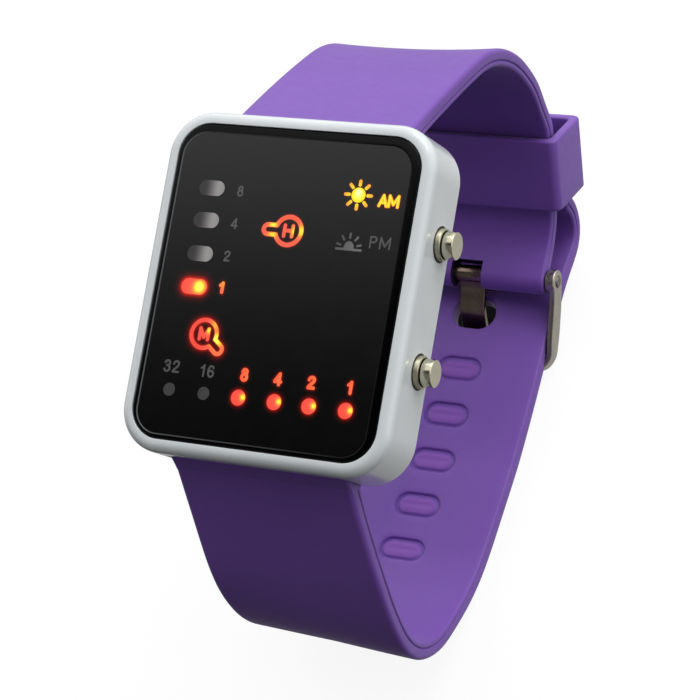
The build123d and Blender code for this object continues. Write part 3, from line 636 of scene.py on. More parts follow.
S_HEEL = lower_run.near(-37.7, -34.0)
S_BACK = lower_run.near(12.5, -60.8)
S_LOOP = lower_run.near(23.5, -62.85)


def lower_width(s):
    return 11.75 - 0.25 * smooth01(18, 60, s) - 0.2 * smooth01(S_BACK - 20, S_BACK, s)


def lower_warp(s, q):
    """How far the band bows out of its plain curve, by length and by place across it."""
    left = np.clip((1 - q) / 2, 0, 1)
    front = np.exp(-((s - 17.0) / 7.5) ** 2)
    heel = np.exp(-((s - S_HEEL) / 8.5) ** 2)
    low_right = 0.3 * np.clip(q, 0, 1) * np.exp(-((s - S_HEEL + 3) / 6.0) ** 2)
    return 0.55 * front * left ** 1.3 - heel * 0.95 * left ** 1.2 + low_right + 0.12 * front * (q * q - 0.4)


def lower_drift(s, q):
    return 0.38 * smooth01(4, 18, s) * (1 - 0.5 * smooth01(lower_run.len - 8, lower_run.len, s))


low = Strap(lower_run, lower_width, 1, lower_warp, lower_drift)
st = np.linspace(0, lower_run.len, int(lower_run.len / 0.75))
low.sides(st)
low.caps(st)
centres = [lower_run.near(*p) for p in slot_at]
tc = lower_run.near(*tongue_slot) + 0.6
R1, H2 = 0.2, T / 2
hw, hh = SLOT
thw, thh = hw, hh + 0.6
hw, hh = hw + 0.14, hh + 0.12
low.flat(st, H2, IN_OUTER, [(c, hw + R1, hh + R1) for c in centres] + [(tc, thw + R1, thh + R1)])
low.flat(st, -H2, IN_INNER, [(c, hw + R1, hh + R1) for c in centres] + [(tc, thw + R1, thh + R1)])
soft = [(R1, 0.0), (R1 * 0.62, 0.03), (R1 * 0.3, 0.09), (R1 * 0.08, 0.16), (0.0, 0.24)]
GW = 0.46
for c in centres:
    # outside: an open recess with a soft rim
    low.wall(c, [(hw + o, hh + o, H2 - d) for o, d in soft] + [(hw, hh, H2 - 0.4), (hw - 0.06, hh - 0.06, H2 - 0.48), (hw - 0.16, hh - 0.16, H2 - 0.5)])
    low.plug(c, hw - 0.16, hh - 0.16, lambda a, b, e: np.full_like(a, H2 - 0.5), 1)
    # inside: groove, then the plug, a little below the face and slightly crowned
    loops = [(hw + o, hh + o, -H2 + d) for o, d in soft]
    loops += [(hw - 0.03, hh - 0.03, -H2 + 0.32), (hw - 0.1, hh - 0.1, -H2 + 0.38), (hw - GW + 0.16, hh - GW + 0.16, -H2 + 0.38),
              (hw - GW + 0.06, hh - GW + 0.06, -H2 + 0.34), (hw - GW - 0.02, hh - GW - 0.02, -H2 + 0.26), (hw - GW - 0.12, hh - GW - 0.12, -H2 + 0.18),
              (hw - GW - 0.26, hh - GW - 0.26, -H2 + 0.13)]
    low.wall(c, loops, 0)
    low.plug(c, hw - GW - 0.26, hh - GW - 0.26,
             lambda a, b, e: -H2 + 0.13 - 0.05 * smooth01(0, 0.5, e) + 0.07 * np.exp(-((a - 0.1) / 0.3) ** 2) * smooth01(0.1, 0.5, e), 1)
low.wall(tc, [(thw + o, thh + o, H2 - d) for o, d in soft] + [(thw, thh, 0.3), (thw, thh, -0.3)] +
         [(thw + o, thh + o, -H2 + d) for o, d in soft[::-1]])


def strap_object(strap, name, mats, extras, cuts, replaces):
    me = raw_mesh(name, strap.v, strap.f, strap.ids)
    finish_mesh(me, merge=3e-6)
    for m in mats:
        me.materials.append(m.m)
    ob = bpy.data.objects.new(name, me)
    scene.collection.objects.link(ob)
    for op, group in (("UNION", extras), ("DIFFERENCE", cuts)):
        for g in group:
            mo = ob.modifiers.new("join", "BOOLEAN")
            mo.object, mo.operation, mo.solver = g, op, "EXACT"
    if extras or cuts:
        dg = bpy.context.evaluated_depsgraph_get()
        done = bpy.data.meshes.new_from_object(ob.evaluated_get(dg))
        ob.modifiers.clear()
        ob.data = done
        for g in list(extras) + list(cuts):
            bpy.data.objects.remove(g)
        finish_mesh(ob.data, merge=2e-7)
    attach(ob, "root")
    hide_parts(*replaces)
    return ob


def helper(name, verts, faces, mat=None):
    me = raw_mesh(name, verts, faces)
    bm = bmesh.new()
    bm.from_mesh(me)
    bmesh.ops.recalc_face_normals(bm, faces=bm.faces)
    bm.to_mesh(me)
    bm.free()
    if mat:
        me.materials.append(mat.m)
    ob = bpy.data.objects.new(name, me)
    scene.collection.objects.link(ob)
    return ob


def prism(name, poly, x0, x1, mat=None, soft_edge=0.0):
    """Closed prism across the strap with slightly softened ends."""
    k = len(poly)
    rows = []
    c = np.mean(poly, axis=0)
    steps = [(x0, soft_edge), (x0 + soft_edge, 0.0), (x1 - soft_edge, 0.0), (x1, soft_edge)] if soft_edge else [(x0, 0), (x1, 0)]
    for x, ins in steps:
        rows.append([(x, p[0] + (c[0] - p[0]) * ins / 3, p[1] + (c[1] - p[1]) * ins / 3) for p in poly])
    verts = [v for r in rows for v in r]
    faces = [tuple(range(k)), tuple(range(len(verts) - k, len(verts)))]
    for r in range(len(rows) - 1):
        for i in range(k):
            j = (i + 1) % k
            faces.append((r * k + i, r * k + j, (r + 1) * k + j, (r + 1) * k + i))
    return helper(name, verts, faces, mat)


def lathe_x(name, prof, cy, cz, mat=None, seg=56):
    """Turned solid about an axis along x, prof is (x, r) from one end to the other, closed by its ends."""
    verts, faces = [], []
    for x, r in prof:
        for i in range(seg):
            a = 2 * math.pi * i / seg
            verts.append((x, cy + r * math.cos(a), cz + r * math.sin(a)))
    for k in range(len(prof) - 1):
        for i in range(seg):
            j = (i + 1) % seg
            faces.append((k * seg + i, k * seg + j, (k + 1) * seg + j, (k + 1) * seg + i))
    faces.append(tuple(range(seg)))
    faces.append(tuple(range((len(prof) - 1) * seg, len(prof) * seg)))
    return helper(name, verts, faces, mat)


def round_poly(pts, r, k=5):
    out = []
    n = len(pts)
    for i in range(n):
        p, a, b = np.array(pts[i]), np.array(pts[i - 1]), np.array(pts[(i + 1) % n])
        u, v = unit(a - p), unit(b - p)
        d = min(r, np.linalg.norm(a - p) * 0.45, np.linalg.norm(b - p) * 0.45)
        for j in range(k + 1):
            t = j / k
            out.append(tuple((1 - t) ** 2 * (p + u * d) + 2 * t * (1 - t) * p + t * t * (p + v * d)))
    return out


block_lo = prism("block_lower", round_poly([(-17.65, -3.1), (-20.6, -3.1), (-21.74, -5.08), (-22.4, -6.1), (-21.1, -7.85), (-18.3, -8.2), (-17.65, -7.7)], 0.45),
                 -11.73, 11.73, strap_mat, 0.3)
lower_ob = strap_object(low, "strap_lower_half", [strap_mat, plug_painted_light_mat], [block_lo], [], ["strap_lower"])


def upper_width(s):
    return 11.75 - 0.45 * smooth01(28, 62, s)


S_TOP = upper_run.near(36.4, -27.2)


def upper_warp(s, q):
    top = np.exp(-((s - S_TOP) / 12.0) ** 2) * smooth01(0, 6, s)
    return top * (0.42 * q * q - 0.42 + 0.22 * q + 0.1 * np.clip(q, 0, 1) ** 3)


def upper_drift(s, q):
    mid = smooth01(3, 18, s) * (1 - smooth01(upper_run.len - 16, upper_run.len - 3, s))
    return mid * (0.4 + 0.3 * np.clip(q, 0, 1) ** 3 * np.exp(-((s - S_TOP - 4) / 12.0) ** 2))


upp = Strap(upper_run, upper_width, -1, upper_warp, upper_drift)
stu = np.linspace(0, upper_run.len, int(upper_run.len / 0.75))
upp.sides(stu)
upp.caps(stu)
upp.flat(stu, H2, IN_OUTER, [])
upp.flat(stu, -H2, IN_INNER, [])
W2 = 11.3
barrel = lathe_x("barrel", [(-W2, 1.5), (-W2 + 0.06, 1.68), (-W2 + 0.2, 1.83), (-W2 + 0.4, 1.9), (W2 - 0.4, 1.9),
                            (W2 - 0.2, 1.83), (W2 - 0.06, 1.68), (W2, 1.5)], PIN_Y, PIN_Z - 0.05, strap_mat, 80)
block_up = prism("block_upper", round_poly([(17.65, -3.1), (20.6, -3.1), (21.9, -5.42), (22.6, -6.35), (21.2, -8.05), (18.3, -8.2), (17.65, -7.7)], 0.45),
                 -11.6, 11.6, strap_mat, 0.35)
# painted shade: near-black silicone on the walls the notch cuts, standing in for the deep shade inside the notch
painted_shade_mat = silicone("strap_painted_shade", srgb(40, 26, 60), srgb(46, 30, 68), 0.0)
notch = prism("notch", round_poly([(PIN_Y - 4, PIN_Z - 4), (PIN_Y + 1.6, PIN_Z - 4), (PIN_Y + 1.6, PIN_Z + 4), (PIN_Y - 4, PIN_Z + 4)], 0.02),
              -2.25, 2.25, painted_shade_mat)
bore = lathe_x("bore", [(-14, 0.84), (14, 0.84)], PIN_Y, PIN_Z, strap_mat, 40)
upper_ob = strap_object(upp, "strap_upper_half", [strap_mat, painted_shade_mat], [barrel, block_up], [notch, bore], ["strap_upper"])

# ---------------------------------------------------------------------------
# keeper loop
# ---------------------------------------------------------------------------


def rounded_rect(hx, hy, r, k=9):
    out = []
    for cx, cy, a0 in ((hx - r, hy - r, 0), (-(hx - r), hy - r, 90), (-(hx - r), -(hy - r), 180), (hx - r, -(hy - r), 270)):
        for i in range(k + 1):
            a = math.radians(a0 + 90 * i / k)
            out.append((cx + r * math.cos(a), cy + r * math.sin(a)))
    return out


def keeper_mesh():
    hx, hy, w, half, r = KEEP_X, KEEP_D / 2, 1.25, KEEP_L / 2, 0.34
    arc = [(r * (1 - math.sin(a)), r * (1 - math.cos(a))) for a in np.radians([0, 22, 45, 68, 90])]
    rings = []
    mid_u = [-2.6, 0.0, 2.6]
    for a, b in arc:
        rings.append((-a, -half + b))
    rings += [(0.0, u) for u in mid_u]
    for a, b in arc[::-1]:
        rings.append((-a, half - b))
    inner = []
    for a, b in arc:
        inner.append((-w + a, half - b))
    inner += [(-w, u) for u in mid_u[::-1]]
    for a, b in arc[::-1]:
        inner.append((-w + a, -half + b))
    rings += inner
    verts, faces = [], []
    for off, u in rings:
        rad = 1.15 + off * 0.75 if off > -w / 2 else 0.62 + (w + off) * 0.6
        for x, n in rounded_rect(hx + off, hy + off, max(rad, 0.2)):
            bow = 0.10 * (1 - (x / hx) ** 2) * (1 if n > 0 else -1)
            p = keep_pt(u, n + bow * 0.5)
            verts.append((x + 0.25, p[0], p[1]))
    k = len(verts) // len(rings)
    for a in range(len(rings)):
        b = (a + 1) % len(rings)
        for i in range(k):
            j = (i + 1) % k
            faces.append((a * k + i, a * k + j, b * k + j, b * k + i))
    me = raw_mesh("keeper_ring", verts, faces)
    finish_mesh(me)
    me.materials.append(keeper_mat.m)
    return new_object("keeper_ring", me, "keeper", ["keeper_loop"])


keeper_ob = keeper_mesh()

# ---------------------------------------------------------------------------
# buckle tongue: flat strip bent from a curl round the pin, down through the slot, along the bar
# ---------------------------------------------------------------------------


def tongue_mesh():
    line = [(13.35, -56.85), (12.85, -57.4), (12.3, -57.85), (11.5, -58.15), (10.5, -58.42), (9.45, -58.97), (8.4, -59.95), (7.3, -60.85),
            (6.1, -61.17), (4.8, -60.98), (3.2, -60.56), (1.5, -60.12)]
    mid = clamped(line, (-0.6, -0.8), (-0.96, 0.27))
    seg = np.linalg.norm(np.diff(mid, axis=0), axis=1)
    s = np.concatenate([[0], np.cumsum(seg)])
    st = np.linspace(0, s[-1], 60)
    p = np.stack([np.interp(st, s, mid[:, 0]), np.interp(st, s, mid[:, 1])], 1)
    d = np.gradient(p, axis=0)
    d /= np.linalg.norm(d, axis=1)[:, None]
    sec = round_poly([(1.8, 0.4), (-1.8, 0.4), (-1.8, -0.4), (1.8, -0.4)], 0.16, 4)
    verts, faces = [], []
    for i in range(len(st)):
        tip = 1.0 - 0.16 * smooth01(s[-1] - 1.0, s[-1], st[i])
        for x, n in sec:
            verts.append((x * tip, p[i, 0] - d[i, 1] * n * tip, p[i, 1] + d[i, 0] * n * tip))
    k = len(sec)
    for i in range(len(st) - 1):
        for j in range(k):
            q = (j + 1) % k
            faces.append((i * k + j, i * k + q, (i + 1) * k + q, (i + 1) * k + j))
    faces.append(tuple(range(k)))
    faces.append(tuple(range((len(st) - 1) * k, len(st) * k)))
    base = len(verts)
    ring = [(-2.0, 0.82), (-2.0, 1.0), (-1.95, 1.08), (-1.84, 1.14), (1.84, 1.14), (1.95, 1.08), (2.0, 1.0), (2.0, 0.82)]
    sg = 64
    for x, r in ring:
        for i in range(sg):
            a = 2 * math.pi * i / sg
            verts.append((x, PIN_Y + r * math.cos(a), PIN_Z + r * math.sin(a)))
    for a in range(len(ring)):
        b = (a + 1) % len(ring)
        for i in range(sg):
            j = (i + 1) % sg
            faces.append((base + a * sg + i, base + a * sg + j, base + b * sg + j, base + b * sg + i))
    me = raw_mesh("tongue_strip", verts, faces)
    finish_mesh(me, merge=0)
    me.materials.append(tongue_metal.m)
    return new_object("tongue_strip", me, "tongue", ["buckle_tongue"])


tongue_ob = tongue_mesh()

# ---------------------------------------------------------------------------
# buckle frame: one bent bar, its two eyes on the pin
# ---------------------------------------------------------------------------


def frame_mesh():
    line = [(14.0, -56.1), (12.4, -57.0), (10.3, -57.8), (8.0, -58.45), (5.8, -58.98), (4.2, -59.33), (3.2, -59.5), (2.35, -59.62)]
    mid = clamped(line, (-0.87, -0.49), (-0.97, -0.24))
    seg = np.linalg.norm(np.diff(mid, axis=0), axis=1)
    s = np.concatenate([[0], np.cumsum(seg)])
    end = s[-1]
    X, R = 12.38, 2.6
    plan = [(X, t, 1.0, 0.0) for t in np.linspace(0.2, end - R, 22)]
    for a in np.radians(np.linspace(0, 90, 12))[1:]:
        plan.append((X - R + R * math.cos(a), end - R + R * math.sin(a), math.cos(a), math.sin(a)))
    plan += [(x, end, 0.0, 1.0) for x in np.linspace(X - R, 0, 8)[1:]]
    plan += [(-x, t, -nx, nt_) for x, t, nx, nt_ in plan[-2::-1]]
    verts, faces = [], []
    sec0 = round_poly([(0.42, 1), (-0.42, 1), (-0.42, -1), (0.42, -1)], 0.2, 4)
    for x, t, nx, ny in plan:
        tt = np.clip(t, 0, end)
        y, z = np.interp(tt, s, mid[:, 0]), np.interp(tt, s, mid[:, 1])
        e = 0.05
        dy = np.interp(min(tt + e, end), s, mid[:, 0]) - np.interp(max(tt - e, 0), s, mid[:, 0])
        dz = np.interp(min(tt + e, end), s, mid[:, 1]) - np.interp(max(tt - e, 0), s, mid[:, 1])
        n = math.hypot(dy, dz)
        dy, dz = dy / n, dz / n
        depth = 1.3 + 0.15 * float(smooth01(2.0, 0.0, t)) - 0.3 * float(smooth01(end - 5, end - 1, t))
        for a, b in sec0:
            verts.append((x + a * nx, y + a * ny * dy - dz * b * depth, z + a * ny * dz + dy * b * depth))
    k = len(sec0)
    for i in range(len(plan) - 1):
        for j in range(k):
            q = (j + 1) % k
            faces.append((i * k + j, i * k + q, (i + 1) * k + q, (i + 1) * k + j))
    faces.append(tuple(range(k)))
    faces.append(tuple(range((len(plan) - 1) * k, len(plan) * k)))
    body = helper("frame_bar", verts, faces, buckle_metal)
    for sgn in (-1, 1):
        eye = lathe_x("eye", [(sgn * (X - 0.98), 1.3), (sgn * (X - 0.92), 1.48), (sgn * (X - 0.8), 1.6), (sgn * (X + 0.22), 1.6),
                              (sgn * (X + 0.34), 1.52), (sgn * (X + 0.4), 1.38)], PIN_Y, PIN_Z, buckle_metal, 48)
        m = body.modifiers.new("eye", "BOOLEAN")
        m.object, m.operation, m.solver = eye, "UNION", "EXACT"
        eye.hide_render = True
    hole = lathe_x("hole", [(-15, 0.85), (15, 0.85)], PIN_Y, PIN_Z, buckle_metal, 32)
    m = body.modifiers.new("hole", "BOOLEAN")
    m.object, m.operation, m.solver = hole, "DIFFERENCE", "EXACT"
    used = [md.object for md in body.modifiers]
    dg = bpy.context.evaluated_depsgraph_get()
    me = bpy.data.meshes.new_from_object(body.evaluated_get(dg))
    for o_ in used + [body]:
        bpy.data.objects.remove(o_)
    finish_mesh(me)
    return new_object("frame_bent", me, "buckle", ["buckle_frame"])


frame_mesh()

# ---------------------------------------------------------------------------
# buttons: collar pressed in the case, dark gap painted as shade, cap
# ---------------------------------------------------------------------------
WALL, BZ = 17.65, -5.3


def turned(name, prof, y, mats, seg_mat, body, replaces=(), seg=72):
    """Closed turned ring or plug along x: prof is a closed run of (x, r)."""
    verts, faces, ids = [], [], []
    for x, r in prof:
        if r < 1e-9:
            verts.append((x, y, BZ))
        else:
            verts += [(x, y + r * math.cos(2 * math.pi * i / seg), BZ + r * math.sin(2 * math.pi * i / seg)) for i in range(seg)]
    start, n = [], 0
    for x, r in prof:
        start.append(n)
        n += 1 if r < 1e-9 else seg
    closed = prof[0][1] > 1e-9
    for a in range(len(prof) if closed else len(prof) - 1):
        b = (a + 1) % len(prof)
        ra, rb = prof[a][1], prof[b][1]
        if ra < 1e-9 and rb < 1e-9:
            continue
        for i in range(seg):
            j = (i + 1) % seg
            if ra < 1e-9:
                faces.append((start[a], start[b] + j, start[b] + i))
            elif rb < 1e-9:
                faces.append((start[a] + i, start[a] + j, start[b]))
            else:
                faces.append((start[a] + i, start[a] + j, start[b] + j, start[b] + i))
            ids.append(seg_mat(a))
    me = raw_mesh(name, verts, faces, ids)
    finish_mesh(me, 28.0)
    for m in mats:
        me.materials.append(m.m)
    return new_object(name, me, body, replaces)


for _which, _y in (("upper", 8.0), ("lower", -7.1)):
    # the collar's bore and the cap's neck are black rubber: painted shade in the gap between collar and cap
    turned("collar_ring_" + _which,
           [(WALL - 0.7, 1.95), (WALL + 0.44, 1.95), (WALL + 0.56, 1.92), (WALL + 0.64, 1.84), (WALL + 0.67, 1.74), (WALL + 0.64, 1.69),
            (WALL + 0.2, 1.69), (WALL - 0.4, 1.69), (WALL - 0.6, 1.4), (WALL - 0.7, 1.4)],
           _y, [collar_metal, rubber], lambda a: 1 if a >= 5 else 0, "root", ["button_collar_" + _which])
    turned("cap_plug_" + _which,
           [(WALL - 2.8, 0.0), (WALL - 2.8, 0.5), (WALL + 0.3, 0.5), (WALL + 0.3, 1.3), (WALL + 0.74, 1.3), (WALL + 0.8, 1.38), (WALL + 0.8, 1.58),
            (WALL + 0.86, 1.64), (WALL + 0.95, 1.66), (WALL + 1.97, 1.66), (WALL + 2.05, 1.63), (WALL + 2.11, 1.56), (WALL + 2.13, 1.46),
            (WALL + 2.15, 0.7), (WALL + 2.15, 0.0)],
           _y, [nickel, rubber], lambda a: 1 if 1 < a < 5 else 0, _which + "_button", ["button_cap_" + _which])
    # painted shade: a black rubber ring in the case's recess round the collar, standing in for the shadow in the gap
    turned("recess_painted_shade_" + _which,
           [(WALL - 0.5, 1.97), (WALL + 0.03, 1.97), (WALL + 0.05, 2.02), (WALL + 0.05, 2.13), (WALL + 0.02, 2.17), (WALL - 0.02, 2.17), (WALL - 0.5, 2.07)],
           _y, [rubber], lambda a: 0, "root")

# ---------------------------------------------------------------------------
# window: polished border, hairline step, display panel with its marks
# ---------------------------------------------------------------------------
PANEL_Z = -0.05


def capsule(p, q, r, k=9):
    p, q = np.array(p, float), np.array(q, float)
    d = q - p
    a0 = math.atan2(d[1], d[0]) if np.linalg.norm(d) > 1e-9 else 0.0
    out = []
    for i in range(k + 1):
        a = a0 + math.pi / 2 + math.pi * i / k
        out.append((p[0] + r * math.cos(a), p[1] + r * math.sin(a)))
    for i in range(k + 1):
        a = a0 - math.pi / 2 + math.pi * i / k
        out.append((q[0] + r * math.cos(a), q[1] + r * math.sin(a)))
    return out


def cap_dist(x, y, caps):
    best = np.full(np.shape(x), 1e9)
    for p, q, r in caps:
        p, q = np.array(p, float), np.array(q, float)
        d = q - p
        n = float(d @ d)
        t = np.clip(((x - p[0]) * d[0] + (y - p[1]) * d[1]) / n, 0, 1) if n > 1e-12 else 0.0
        best = np.minimum(best, np.hypot(x - p[0] - t * d[0], y - p[1] - t * d[1]) - r)
    return best


def chain(pts, r, closed=False):
    n = len(pts)
    return [(pts[i], pts[(i + 1) % n], r) for i in range(n if closed else n - 1)]


def arc(cx, cy, rx, ry, a0, a1, k):
    return [(cx + rx * math.cos(math.radians(a0 + (a1 - a0) * i / k)), cy + ry * math.sin(math.radians(a0 + (a1 - a0) * i / k))) for i in range(k + 1)]


GLYPH = {
    "1": ([[(0.08, 0.74), (0.22, 0.82), (0.34, 1.0), (0.34, 0.0)]], 0.45),
    "2": ([[(0.04, 0.74), (0.08, 0.88), (0.19, 0.97), (0.32, 1.0), (0.46, 0.96), (0.55, 0.84), (0.55, 0.7), (0.48, 0.56),
            (0.3, 0.38), (0.12, 0.2), (0.03, 0.02), (0.58, 0.02)]], 0.6),
    "3": ([[(0.04, 0.8), (0.12, 0.94), (0.28, 1.0), (0.44, 0.96), (0.53, 0.84), (0.52, 0.68), (0.42, 0.57), (0.26, 0.54)],
           [(0.26, 0.54), (0.46, 0.48), (0.57, 0.34), (0.56, 0.17), (0.44, 0.04), (0.28, 0.0), (0.12, 0.05), (0.03, 0.2)]], 0.6),
    "4": ([[(0.46, 0.0), (0.46, 1.0), (0.02, 0.32), (0.02, 0.26), (0.62, 0.26)]], 0.62),
    "6": ([[(0.54, 0.84), (0.45, 0.96), (0.31, 1.0), (0.16, 0.93), (0.06, 0.74), (0.03, 0.5), (0.06, 0.24), (0.16, 0.07),
            (0.31, 0.0), (0.46, 0.05), (0.56, 0.18), (0.56, 0.36), (0.46, 0.52), (0.31, 0.58), (0.16, 0.52), (0.06, 0.38)]], 0.6),
    "8": ([arc(0.3, 0.77, 0.21, 0.22, 0, 360, 20), arc(0.3, 0.28, 0.26, 0.28, 0, 360, 22)], 0.6),
    "H": ([[(0.0, 0.0), (0.0, 1.0)], [(0.82, 0.0), (0.82, 1.0)], [(0.0, 0.52), (0.82, 0.52)]], 0.82),
    "M": ([[(0.0, 0.0), (0.0, 1.0), (0.46, 0.2), (0.92, 1.0), (0.92, 0.0)]], 0.92),
    "A": ([[(0.0, 0.0), (0.38, 1.0), (0.76, 0.0)], [(0.13, 0.32), (0.63, 0.32)]], 0.76),
    "P": ([[(0.0, 0.0), (0.0, 1.0), (0.36, 1.0), (0.52, 0.93), (0.58, 0.76), (0.52, 0.58), (0.36, 0.5), (0.0, 0.5)]], 0.58),
}


def word(txt, cx, cy, h, stroke, gap=0.2, squeeze=1.0):
    """Strokes of some letters or digits, centred."""
    hh = h - stroke
    widths = [GLYPH[c][1] * hh * squeeze for c in txt]
    total = sum(widths) + (gap * h + stroke) * (len(txt) - 1)
    x = cx - total / 2
    caps = []
    for c, w in zip(txt, widths):
        for line in GLYPH[c][0]:
            pts = [(x + px * hh * squeeze, cy - hh / 2 + py * hh) for px, py in line]
            caps += chain(pts, stroke / 2)
        x += w + gap * h + stroke
    return caps


def flat_mark(name, caps, glow_and_painted_shade, mat, step=0.16, z=PANEL_Z + 0.03, thick=0.12):
    """Thin closed plate in the window's face, its outline the union of the capsules."""
    pts, faces = [], []
    for p, q, r in caps:
        ring = capsule(p, q, r, 9 if r < 0.6 else 20)
        base = len(pts)
        pts += ring
        faces.append(list(range(base, base + len(ring))))
    a = np.array(pts)
    gx, gy = np.meshgrid(np.arange(a[:, 0].min(), a[:, 0].max(), step), np.arange(a[:, 1].min(), a[:, 1].max(), step))
    gx, gy = gx.ravel(), gy.ravel()
    keep = cap_dist(gx, gy, caps) < -step * 0.5
    pts += list(zip(gx[keep], gy[keep]))
    vs, _, fs, *_r = delaunay_2d_cdt([Vector((float(p[0]), float(p[1]))) for p in pts], [], faces, 1, 1e-5)
    bm = bmesh.new()
    bv = [bm.verts.new((v[0], v[1], z)) for v in vs]
    flat = np.array([tuple(v) for v in vs])
    mids = np.array([flat[list(f)].mean(0) for f in fs])
    inside = cap_dist(mids[:, 0], mids[:, 1], caps) < 0
    for f, ok in zip(fs, inside):
        if ok:
            bm.faces.new([bv[i] for i in f])
    loose = [v for v in bm.verts if not v.link_faces]
    bmesh.ops.delete(bm, geom=loose, context="VERTS")
    top = list(bm.faces)
    ext = bmesh.ops.extrude_face_region(bm, geom=top, use_keep_orig=True)
    for v in [g for g in ext["geom"] if isinstance(g, bmesh.types.BMVert)]:
        v.co.z -= thick
    bmesh.ops.recalc_face_normals(bm, faces=bm.faces)
    me = bpy.data.meshes.new(name)
    bm.to_mesh(me)
    bm.free()
    co = np.zeros(len(me.vertices) * 3)
    me.vertices.foreach_get("co", co)
    co = co.reshape(-1, 3)
    at = me.attributes.new("glow_and_painted_shade", "FLOAT", "POINT")
    at.data.foreach_set("value", np.clip(glow_and_painted_shade(co[:, 0], co[:, 1]), 0, 1).astype(np.float32))
    me.vertices.foreach_set("co", row(co).ravel())
    me.materials.append(mat.m)
    me.update()
    return new_object(name, me, "root")


def blob(x, y, cx, cy, r):
    return np.exp(-(((x - cx) ** 2 + (y - cy) ** 2) / (r * r)))


HOUR_X, HOUR_Y = -10.65, (11.34, 7.42, 3.33, -0.68)
MIN_X, MIN_Y = (-11.5, -6.86, -2.23, 2.5, 7.01, 11.72), -13.21
glowing = []          # (capsules, reach, strength)

# unlit hour pills: painted shading, darker on the left and lighter towards the right, with a painted highlight there
for i, y in enumerate(HOUR_Y[:3]):
    caps = [((HOUR_X - 0.78, y), (HOUR_X + 0.78, y), 0.93)]
    flat_mark(f"hour_pill_{8 >> i}", caps, lambda x, yy: smooth01(HOUR_X - 1.0, HOUR_X + 1.3, x) * (0.72 + 0.28 * blob(x, yy, HOUR_X + 0.7, yy, 0.8)),
              pill_unlit)
caps = [((HOUR_X - 0.78, HOUR_Y[3]), (HOUR_X + 0.78, HOUR_Y[3]), 0.93)]
flat_mark("hour_pill_1", caps, lambda x, y: 0.1 + 0.95 * blob(x, y, HOUR_X + 0.72, HOUR_Y[3] + 0.05, 0.75) + 0.35 * blob(x, y, HOUR_X + 0.5, HOUR_Y[3] - 0.2, 1.3),
          red_lit)
glowing.append((caps, 0.62, 1.0))

for k, (x, lit_) in enumerate(zip(MIN_X, (0, 0, 1, 1, 1, 1))):
    caps = [((x, MIN_Y), (x, MIN_Y), 0.93 if lit_ else 0.78)]
    if lit_:
        flat_mark(f"minute_dot_{32 >> k}", caps, lambda a, b, x=x: 0.12 + 0.95 * blob(a, b, x + 0.62, MIN_Y + 0.1, 0.48),
                  red_lit)
        glowing.append((caps, 0.35, 0.75))
    else:
        # painted shading: the unlit dot is a little lighter towards the right
        flat_mark(f"minute_dot_{32 >> k}", caps, lambda a, b, x=x: 0.5 + 0.3 * (a - x), dot_unlit)

hour_digits = {"8": (-6.76, 11.25), "4": (-6.8, 7.3), "2": (-7.0, 3.33), "1": (-6.99, -0.49)}
for d, (x, y) in hour_digits.items():
    if d == "1":
        caps = word(d, x, y, 1.5, 0.42)
        flat_mark("hour_digit_1", caps, lambda a, b: 0.5 + 0.3 * (b - y), digit_lit)
        glowing.append((caps, 0.22, 0.6))
    else:
        flat_mark("hour_digit_" + d, word(d, x, y, 1.36, 0.23), lambda a, b: 0.25 + 0 * a, mark_unlit)
minute_digits = [("32", -11.7, -10.44, 0), ("16", -6.9, -10.54, 0), ("8", -1.92, -10.45, 1), ("4", 2.49, -10.49, 1), ("2", 6.84, -10.45, 1),
                 ("1", 11.77, -10.5, 1)]
for d, x, y, on in minute_digits:
    if on:
        caps = word(d, x, y, 1.66, 0.4)
        flat_mark("minute_digit_" + d, caps, lambda a, b, x=x: 0.25 + 0.35 * (a - x), digit_lit)
        glowing.append((caps, 0.22, 0.6))
    else:
        flat_mark("minute_digit_" + d, word(d, x, y, 1.55, 0.25, gap=0.1), lambda a, b: 0.12 + 0 * a, mark_unlit)


def ring_mark(cx, cy, ang, stroke=0.55):
    """Ring with an open stub of a handle, drawn as one outline."""
    R, half, end = 1.68, 0.57, 2.7
    a = math.degrees(math.asin(half / R))
    pts = arc(0, 0, R, R, a, 360 - a, 44)
    pts += [(end, -half)] + arc(end, 0, half, half, -90, 90, 10)[1:]
    c, s = math.cos(math.radians(ang)), math.sin(math.radians(ang))
    pts = [(cx + x * c - y * s, cy + x * s + y * c) for x, y in pts]
    return chain(pts, stroke / 2, closed=True)


hx, hy = 0.46, 7.0
caps = ring_mark(hx, hy, 180)
flat_mark("hour_ring", caps, lambda x, y: 0.32 + 0.6 * blob(x, y, hx + 1.75, hy + 0.1, 0.8) + 0.7 * blob(x, y, hx - 2.1, hy + 0.6, 0.55)
          + 0.6 * blob(x, y, hx - 2.0, hy - 0.6, 0.6), red_lit)
glowing.append((caps, 0.2, 0.42))
caps = word("H", hx, hy, 1.72, 0.44)
flat_mark("hour_letter", caps, lambda x, y: 0.34 + 0.55 * smooth01(hx, hx + 0.7, x) * blob(x, y, hx + 0.7, hy, 0.7), red_lit)
glowing.append((caps, 0.2, 0.42))
mx, my = -8.19, -6.19
caps = ring_mark(mx, my, -37.5, 0.5)
flat_mark("minute_ring", caps, lambda x, y: 0.08 + 0.35 * smooth01(mx - 0.6, mx + 1.6, x) + 0.75 * blob(x, y, mx + 1.85, my - 0.55, 0.75)
          + 0.3 * blob(x, y, mx + 1.2, my + 1.2, 0.7), red_lit)
glowing.append((caps, 0.5, 0.7))
caps = word("M", mx + 0.02, my, 1.7, 0.42, squeeze=0.95)
flat_mark("minute_letter", caps, lambda x, y: 0.16 + 0.8 * blob(x, y, mx + 0.62, my + 0.45, 0.5), red_lit)
glowing.append((caps, 0.35, 0.7))

